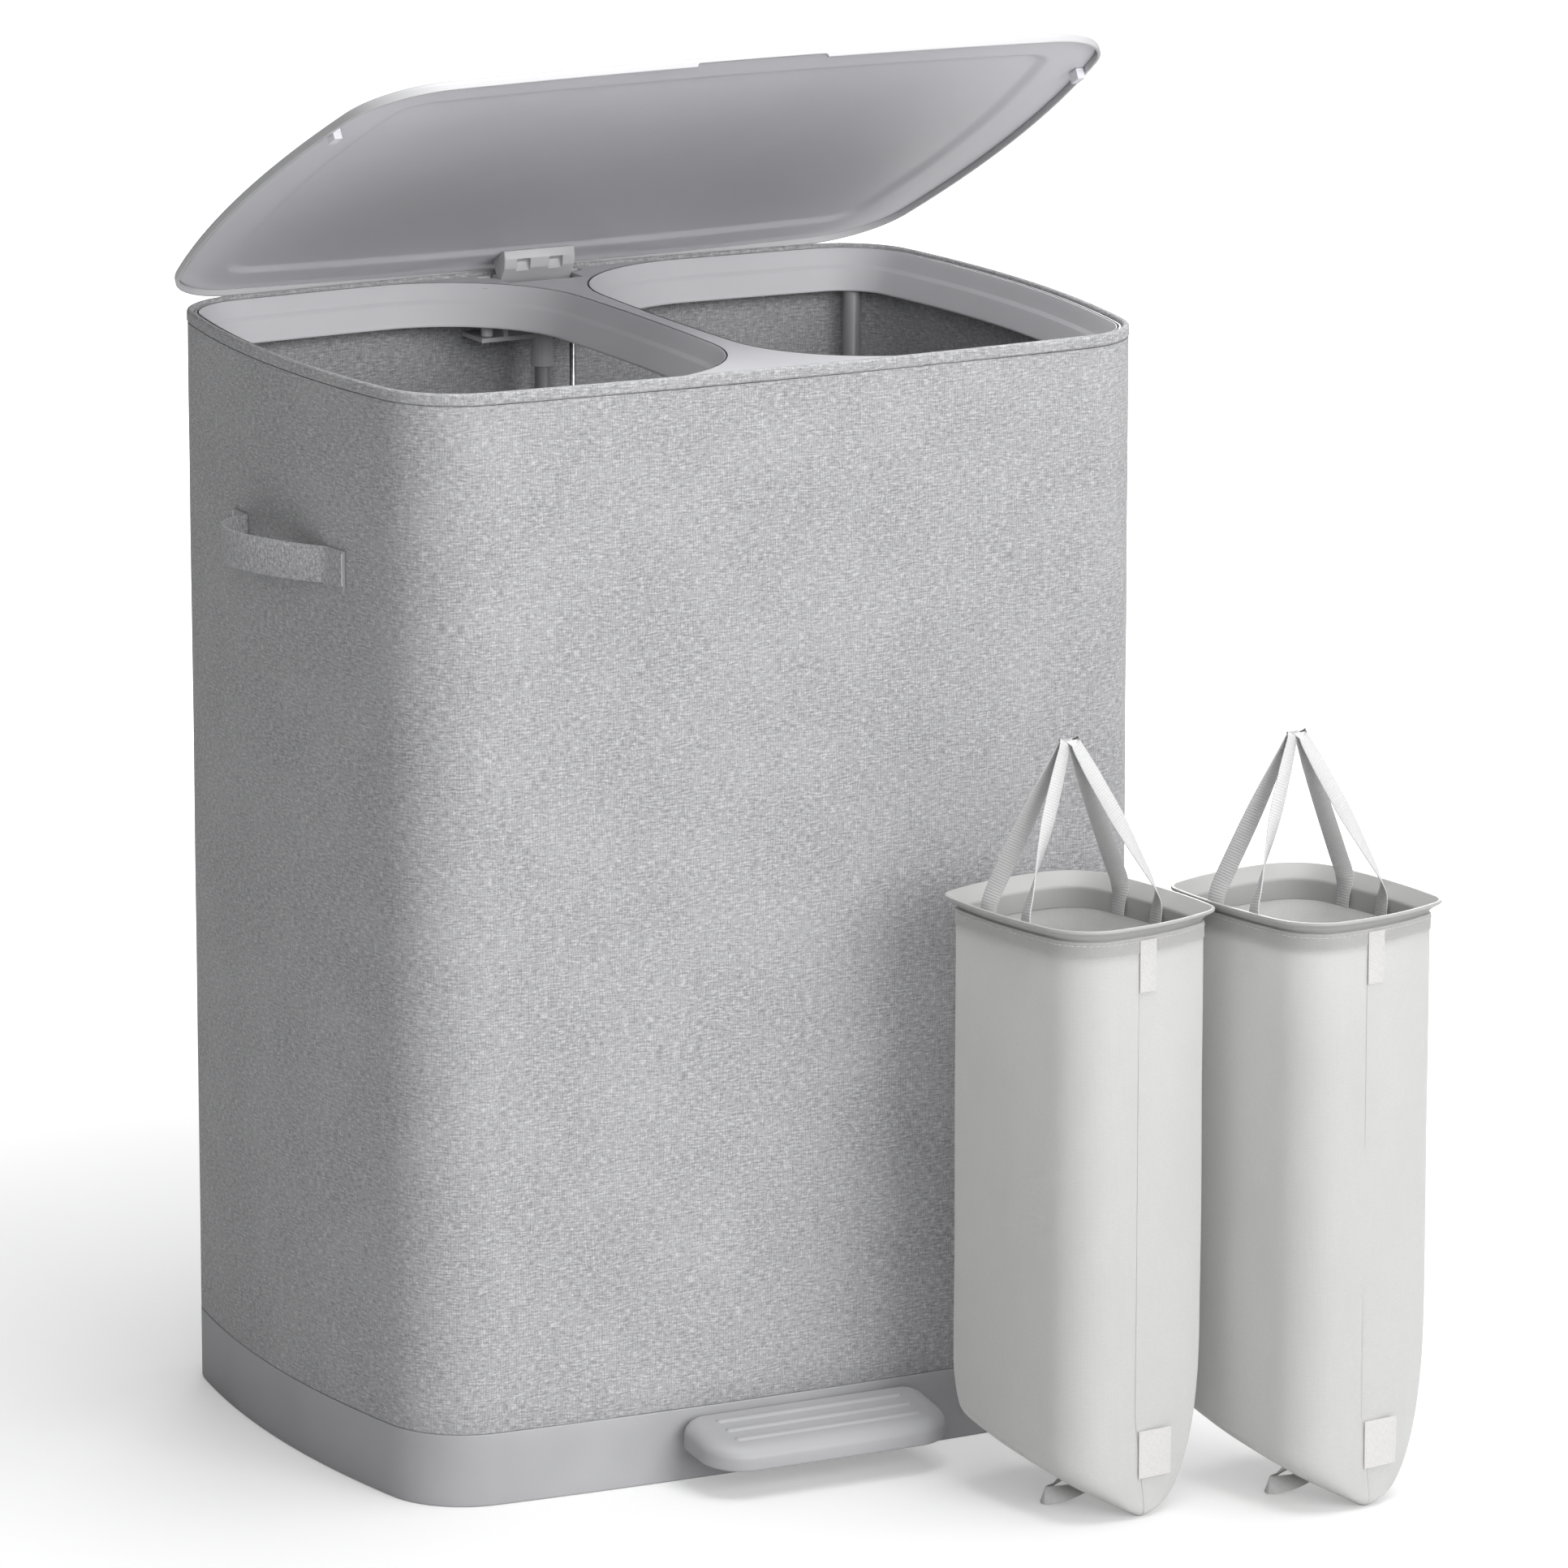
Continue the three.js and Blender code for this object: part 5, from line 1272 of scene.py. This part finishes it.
def build_bag(s, name, index):
    height = s.height
    flare_low = height - FLARE_HEIGHT
    collar_low = flare_low - RIM_COLLAR
    bend, bend_z = RIM_FLARE * 0.55, flare_low + FLARE_HEIGHT * 0.45
    rim_profile = rounded([
        (RIM_FLARE, collar_low, 0.4 * MM), (RIM_FLARE, flare_low, 3 * MM), (bend, bend_z, 3 * MM),
        (0, height - RIM_WALL, 0.5 * MM), (0, height, 0.6 * MM), (RIM_WALL, height, 0.6 * MM),
        (bend + RIM_WALL, bend_z, 3 * MM), (RIM_FLARE + RIM_WALL, flare_low, 3 * MM),
        (RIM_FLARE + RIM_WALL, collar_low, 0.4 * MM)], closed=True)
    rim = placed(lofted(f"{name}_flared_rim", carried(bag_sides(), rim_profile), wrap=True), name)
    dressed(rim, "bag_rim", name, "rim_plastic", f"{name}_rim")

    top = flare_low - 0.3 * MM
    levels = [0.0, 0.15 * MM, 0.4 * MM, 0.8 * MM, 1.4 * MM]
    levels += [TAPER_RIGHT * (k / 30) ** 1.7 for k in range(3, 31)]
    levels += [TAPER_RIGHT + (top - TAPER_RIGHT) * k / 16 for k in range(1, 17)]
    outer = [bag_ring(z, 0.0) for z in levels]
    inner = [bag_ring(z, BAG_WALL) for z in levels if z > 8 * MM][::-1]
    body = lofted(f"{name}_cloth", outer + inner, crease=60)
    count = len(outer[0])
    total = len(body.data.vertices)

    def close(bm):
        bm.verts.ensure_lookup_table()
        bm.faces.new([bm.verts[i] for i in range(count)][::-1])
        bm.faces.new([bm.verts[total - count + i] for i in range(count)])
        bmesh.ops.recalc_face_normals(bm, faces=bm.faces)
    with_mesh(body, close)
    still = top - 12 * MM
    for vertex in body.data.vertices:
        x, y, z = vertex.co
        if 3 * MM < z < still:
            calm = min(1.0, (still - z) / CALM_BAND, z / CALM_BAND, 0.3 + abs(x) / CALM_BAND)
            place = Vector((x / RIPPLE_WIDE, y / RIPPLE_WIDE, z / RIPPLE_TALL + index * 5))
            outward = Vector((x, y, 0)).normalized()
            vertex.co += outward * 0.7 * MM * calm * noise.noise(place)
    placed(body, name)
    dressed(body, "bag", name, "bag_fabric", f"{name}_body")

    hem_out, hem_in, hem_low = BAG_INSET - 0.55 * MM, BAG_INSET - 0.05 * MM, top - 9 * MM
    hem_profile = rounded([(hem_out, hem_low, 0.25 * MM), (hem_out, top, 0.25 * MM),
                           (hem_in, top, 0.1 * MM), (hem_in, hem_low, 0.1 * MM)], closed=True)
    hem_rings = carried(bag_sides(), hem_profile)
    hem = placed(lofted(f"{name}_hem_band", hem_rings, wrap=True), name)
    dressed(hem, "bag", name, "bag_fabric", f"{name}_hem")
    row = outline(bag_sides(), hem_out)
    stitches = placed(stitch_row(f"{name}_hem_stitches", row, top - 2.2 * MM, s.stitch_pitch), name)
    dressed(stitches, "thread", name, "bag_fabric")

    sewn = [z for z in levels if 2 * MM < z < hem_low]
    front = [front_point(SEAM_X * min(1.0, z / (60 * MM)), z, 0.0) for z in sewn]
    half_y = bag_halves()[1]
    rear = [climbed(0.0, half_y * end_share(z, ROUND_REAR) + 0.1 * MM, z) for z in sewn]
    seams = [cordlet(f"{name}_seam_{word}", line, SEAM_RADIUS)
             for word, line in (("front", front), ("rear", rear))]
    seam = placed(gathered(f"{name}_seam_welts", seams), name)
    dressed(seam, "bag", name, "bag_fabric")

    with_body = [hem, stitches, seam]
    for side, word in ((-1, "left"), (1, "right")):
        strap, reach = bag_strap(s, f"{name}_ribbon_strap_{word}", side)
        dressed(placed(strap, name), "strap", name, "bag_fabric", f"{name}_strap_{word}")
    loop, reach = bag_loop(f"{name}_ribbon_loop")
    dressed(placed(loop, name), "loop", name, "bag_fabric", f"{name}_loop")
    tab = patch(f"{name}_sewn_tab", *TAB)
    dressed(placed(tab, name), "label", name, "label_fabric", f"{name}_tab")
    label = patch(f"{name}_bare_label", *LABEL)
    dressed(placed(label, name), "label", name, "label_fabric", f"{name}_label")
    with_body += [tab, label]


def cordlet(name, path, radius, count=8):
    """Thin round line along a path, such as a welt or a thread."""
    rings = []
    for i, point in enumerate(path):
        along = heading(path, i)
        side = along.cross(Vector((0, 0, 1)) if abs(along.z) < 0.9 else Vector((1, 0, 0))).normalized()
        other = along.cross(side)
        turns = [math.tau * k / count for k in range(count)]
        rings.append([point + (side * math.cos(a) + other * math.sin(a)) * radius for a in turns])
    return lofted(name, rings, caps=True, crease=60)


def stitch_row(name, points, z, pitch, share=0.66, radius=0.32 * MM):
    """Row of stitches along a closed outline: each dips into the cloth at both ends."""
    loop = [Vector((p.x, p.y, z)) for p in points]
    total = path_length(loop, closed=True)
    number = round(total / pitch)
    step = total / number
    along, where = [0.0], loop + loop[:1]
    for a, b in zip(where, where[1:]):
        along.append(along[-1] + (b - a).length)

    def at(distance):
        distance %= total
        k = max(i for i, value in enumerate(along) if value <= distance)
        k = min(k, len(loop) - 1)
        t = (distance - along[k]) / (along[k + 1] - along[k])
        return where[k].lerp(where[k + 1], t)
    parts = []
    for i in range(number):
        start = i * step
        path = []
        for k in range(5):
            point = at(start + step * share * k / 4)
            outward = Vector((point.x, point.y, 0)).normalized()
            sink = (0.25, -0.15, -0.22, -0.15, 0.25)[k] * MM
            path.append(point - outward * sink)
        parts.append(cordlet(f"{name}_{i}", path, radius, 6))
    return gathered(name, parts)


# How each strap's rear and front leg twist: how far up from the rim, and the angle in degrees of the
# ribbon's width there. The foot is sewn flat inside the rim, at -1.
TWISTS = {
    -1: (((-1, -90), (-0.4, -88), (0, -64), (0.5, -25), (0.85, 12), (1, 22)),
         ((-1, 90), (-0.3, 88), (0, 76), (0.15, 59), (0.35, 30), (0.55, 6), (0.8, 8), (1, 22))),
    1: (((-1, -90), (-0.4, -86), (0, -30), (0.5, -10), (0.8, 4), (1, 22)),
        ((-1, 90), (-0.4, 86), (0, 58), (0.1, 42), (0.3, 22), (0.5, 0), (0.8, 4), (1, 22))),
}
# How far each strap leans outwards up to the rim, and how far below its full rise its top lies
STRAP_LEAN, STRAP_DROP = {-1: 4.5 * MM, 1: 2.0 * MM}, {-1: 2.2 * MM, 1: 3.4 * MM}


def between(keys, place):
    """Value at a place in a table of places and values."""
    for (a, first), (b, second) in zip(keys, keys[1:]):
        if place <= b:
            share = max(0.0, (place - a) / (b - a))
            return first + (second - first) * share
    return keys[-1][1]


def bag_strap(s, name, side):
    """Ribbon that rises from inside the rim, folds over the top and comes down again, twisting in each leg."""
    thickness = 0.7 * MM
    middle, spread, shift = 4 * MM, 16.5 * MM, -5 * MM
    foot_x = s.width / 2 - RIM_FLARE - RIM_WALL - 2.4 * MM
    rim_x, apex_x = foot_x + STRAP_LEAN[side], 2.7 * MM + side * shift
    foot_z = s.height - FLARE_HEIGHT - RIM_COLLAR + MM
    peak = s.height + s.strap_rise - STRAP_DROP[side]

    def leg(end, keys):
        """Centres of one leg from its sewn foot up to the top, and the angles of its width."""
        points, angles = [], []
        for k in range(12):
            share = k / 12
            out = share * share * (3 - 2 * share)
            points.append(Vector((foot_x + (rim_x - foot_x) * out, middle + end * spread,
                                  foot_z + (s.height - foot_z) * share)))
            angles.append(between(keys, share - 1))
        steps = 48
        for k in range(steps + 1):
            t = k / steps
            fold = min(1.0, (1 - t) / 0.045)
            apart = 0.9 * MM * min(1.0, t / 0.1) * math.sin(math.pi / 2 * fold)
            climb = t if t < 0.955 else 0.955 + 0.045 * math.sin(math.pi / 2 * (1 - fold))
            points.append(Vector((rim_x + (apex_x - rim_x) * t, middle + end * (spread * (1 - t) + apart),
                                  s.height + (peak - s.height) * climb)))
            angles.append(between(keys, t))
        for _ in range(6):
            smooth = [(a + b + c) / 3 for a, b, c in zip(angles, angles[1:], angles[2:])]
            angles = [angles[0], *smooth, angles[-1]]
            xs = [p.x for p in points]
            for i in range(1, len(points) - 6):
                points[i].x = (xs[i - 1] + xs[i] + xs[i + 1]) / 3
        return points, angles
    up, up_angles = leg(1, TWISTS[side][0])
    down, down_angles = leg(-1, TWISTS[side][1])
    centres = [Vector((side * p.x, p.y, p.z)) for p in up + down[-2::-1]]
    angles = up_angles + down_angles[-2::-1]
    acrosses, normals = [], []
    for i, degrees in enumerate(angles):
        along = heading(centres, i)
        turn = math.radians(degrees)
        wish = Vector((math.cos(turn), math.sin(turn), 0))
        across = (wish - along * wish.dot(along)).normalized()
        acrosses.append(across)
        normals.append(along.cross(across).normalized())
    strap = swept(name, centres, acrosses, normals, s.strap_width, thickness)
    faced_out(strap)
    return strap, path_length(centres)


def bag_loop(name):
    """Webbing loop sewn to the ridge with both ends: it leans down to the floor and stands on edge at
    its tip."""
    width, thickness, half, reach = LOOP_WIDTH, 0.7 * MM, 7.6 * MM, 26 * MM
    near, middle = -RIDGE - 0.6 * MM, -7 * MM
    centres, acrosses, normals = [], [], []
    steps, flat, rise = 64, 14, 62

    def half_turn(k):
        return math.pi * (2 * k / steps - 1) / 2

    def lean_at(k):
        return math.radians(flat + rise * math.cos(half_turn(k)) ** 1.5)
    for k in range(steps + 1):
        turn, lean = half_turn(k), lean_at(k)
        run = math.cos(turn)
        x = near - reach * run
        y = middle - half * math.sin(turn) * (1 - 0.12 * run)
        floor_z = width / 2 * math.sin(lean) + thickness / 2 + 0.1 * MM
        high = climbed(0.0, y, 0.0).z + 0.4 * MM
        z = max(high * (1 - run) + floor_z * run, floor_z)
        centres.append(Vector((x, y, z)))
    for i in range(steps + 1):
        along = heading(centres, i)
        lean = lean_at(i)
        inward = Vector((0, 0, 1)).cross(along).normalized()
        wish = inward * math.cos(lean) + Vector((0, 0, 1)) * math.sin(lean)
        across = (wish - along * wish.dot(along)).normalized()
        acrosses.append(across)
        normals.append(along.cross(across).normalized())
    loop = swept(name, centres, acrosses, normals, width, thickness)
    faced_out(loop)
    return loop, path_length(centres)


def patch(name, left, width, low, high, proud, loose):
    """Tape sewn along the front seam: it follows the cloth there, and its free edge stands off by loose."""
    across, rows, thickness = 12, 14, 0.55 * MM
    verts, faces, uvs = [], [], []
    for shift in (0.0, thickness):
        for r in range(rows + 1):
            z = low + (high - low) * r / rows
            for c in range(across + 1):
                t = c / across
                x = left + width * t
                verts.append(front_point(x, z, proud + shift + loose * t * t))
    wide, each = across + 1, (across + 1) * (rows + 1)

    def quad(a, b, c, d):
        faces.append((a, b, c, d))
        for i in (a, b, c, d):
            row, column = i % each // wide, i % wide
            uvs.append((width * column / across, (high - low) * row / rows))
    for r in range(rows):
        for c in range(across):
            a = r * wide + c
            quad(a, a + wide, a + wide + 1, a + 1)
            quad(each + a, each + a + 1, each + a + wide + 1, each + a + wide)
    for r in range(rows):
        for c in (0, across):
            a, b = r * wide + c, (r + 1) * wide + c
            quad(a, each + a, each + b, b)
    for c in range(across):
        for r in (0, rows):
            a, b = r * wide + c, r * wide + c + 1
            quad(a, b, each + b, each + a)
    made = mesh_object(name, verts, faces, uvs, crease=40)
    faced_out(made)
    return made


# Stage: the camera stands where a fit of the photograph's lines puts it

CAMERA_PLACE, CAMERA_AIM = (-2.44508, -4.89222, 1.63175), (0.06557, -0.0333, 0.3632)
CAMERA_SENSOR, CAMERA_LENS = 36, 221.738
FLOOR_REACH = 14.0
# The floor's own light, seen by the camera only: where it begins and is full, and its strength at both
GLOW_START, GLOW_END, GLOW_LOW, GLOW_FULL = 0.5, 1.6, 0.28, 1.0
WORLD_LIGHT, WORLD_SEEN = 0.22, 1.05
# Each soft light: name, place, target, size in metres and power in watts
LIGHTS = (("key", (1.45, -6.5, 2.55), (0.0, 0.0, 0.35), 5.2, 335.0),
          ("fill", (-2.6, -5.8, 2.6), (0.0, 0.0, 0.35), 3.0, 76.0),
          ("top", (0.6, -0.6, 3.6), (0.0, 0.0, 0.5), 3.0, 104.0),
          ("back", (3.2, 5.4, 2.4), (0.0, 0.0, 0.35), 3.5, 190.0))


class HAMPER_OT_stage(bpy.types.Operator):
    """Set the floor, the soft lights and the camera"""
    bl_idname = "hamper.stage"
    bl_label = "Stage"

    def execute(self, context):
        scene = context.scene
        scene.view_settings.view_transform = "Standard"
        camera_data = bpy.data.cameras.new("Camera")
        camera = bpy.data.objects.new("Camera", camera_data)
        scene.collection.objects.link(camera)
        camera.location = CAMERA_PLACE
        camera.rotation_euler = (Vector(CAMERA_AIM) - camera.location).to_track_quat("-Z", "Y").to_euler()
        camera_data.sensor_width = CAMERA_SENSOR
        camera_data.lens = CAMERA_LENS
        camera_data.clip_end = 100
        scene.camera = camera

        floor_mesh = bpy.data.meshes.new("studio_floor")
        corners = [(x * FLOOR_REACH, y * FLOOR_REACH, 0) for x, y in ((-1, -1), (1, -1), (1, 1), (-1, 1))]
        floor_mesh.from_pydata(corners, [], [(0, 1, 2, 3)])
        floor = bpy.data.objects.new("studio_floor", floor_mesh)
        scene.collection.objects.link(floor)
        material, tree, shader = new_material("Painted studio floor", 0.9)
        shader.inputs["Base Color"].default_value = scene.hamper_colours.floor
        shader.inputs["Specular IOR Level"].default_value = 0.0
        shader.inputs["Emission Color"].default_value = (1.0, 1.0, 1.0, 1.0)
        seen = add_node(tree, "ShaderNodeLightPath").outputs["Is Camera Ray"]
        place = object_place(tree)
        away = add_node(tree, "ShaderNodeVectorMath", {"operation": "LENGTH"}, {0: place}).outputs["Value"]
        paler = remapped(tree, away, GLOW_START, GLOW_END, GLOW_LOW, GLOW_FULL)
        tree.links.new(sums(tree, "MULTIPLY", seen, paler), shader.inputs["Emission Strength"])
        floor_mesh.materials.append(material)

        world = bpy.data.worlds.new("Studio")
        scene.world = world
        world.use_nodes = True
        tree = world.node_tree
        tree.nodes.clear()
        ray = add_node(tree, "ShaderNodeLightPath")
        strength = add_node(tree, "ShaderNodeMix", {"data_type": "FLOAT"}, {
            "Factor": ray.outputs["Is Camera Ray"], 2: WORLD_LIGHT, 3: WORLD_SEEN})
        sky = add_node(tree, "ShaderNodeBackground", inputs={
            "Color": (1.0, 1.0, 1.0, 1.0), "Strength": strength.outputs[0]})
        add_node(tree, "ShaderNodeOutputWorld", inputs={"Surface": sky.outputs["Background"]})

        for name, place, target, size, power in LIGHTS:
            data = bpy.data.lights.new(name, "AREA")
            data.shape = "DISK"
            data.size = size
            data.energy = power
            lamp = bpy.data.objects.new(name, data)
            lamp.location = place
            direction = Vector(target) - Vector(place)
            lamp.rotation_euler = direction.to_track_quat("-Z", "Y").to_euler()
            scene.collection.objects.link(lamp)
        return {"FINISHED"}


class HAMPER_PT_panel(bpy.types.Panel):
    bl_label = "Laundry hamper"
    bl_idname = "HAMPER_PT_panel"
    bl_space_type = "VIEW_3D"
    bl_region_type = "UI"
    bl_category = "Hamper"

    def draw(self, context):
        for group in ("hamper_sizes", "bag_sizes", "hamper_colours"):
            holder = getattr(context.scene, group)
            column = self.layout.column()
            for name in holder.__annotations__:
                column.prop(holder, name)
        for operator in OPERATORS:
            self.layout.operator(operator.bl_idname)


GROUPS = {"hamper_sizes": HamperSizes, "bag_sizes": BagSizes, "hamper_colours": HamperColours}
OPERATORS = (HAMPER_OT_stage, HAMPER_OT_base, HAMPER_OT_sleeve, HAMPER_OT_top_frame, HAMPER_OT_handles,
             HAMPER_OT_poles, HAMPER_OT_lid, HAMPER_OT_hinge, HAMPER_OT_linkage, HAMPER_OT_pedal,
             HAMPER_OT_bags)


def register():
    for cls in (*GROUPS.values(), *OPERATORS, HAMPER_PT_panel):
        bpy.utils.register_class(cls)
    for name, cls in GROUPS.items():
        setattr(bpy.types.Scene, name, PointerProperty(type=cls))


def unregister():
    for name in GROUPS:
        delattr(bpy.types.Scene, name)
    for cls in (HAMPER_PT_panel, *reversed(OPERATORS), *GROUPS.values()):
        bpy.utils.unregister_class(cls)


def main():
    register()
    make_finishes()
    bpy.ops.hamper.stage()
    bpy.ops.hamper.base()
    bpy.ops.hamper.sleeve()
    bpy.ops.hamper.top_frame()
    bpy.ops.hamper.handles()
    bpy.ops.hamper.poles()
    bpy.ops.hamper.lid()
    bpy.ops.hamper.hinge()
    bpy.ops.hamper.linkage()
    bpy.ops.hamper.pedal()
    bpy.ops.hamper.bags()
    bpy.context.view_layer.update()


if __name__ == "__main__":
    main()
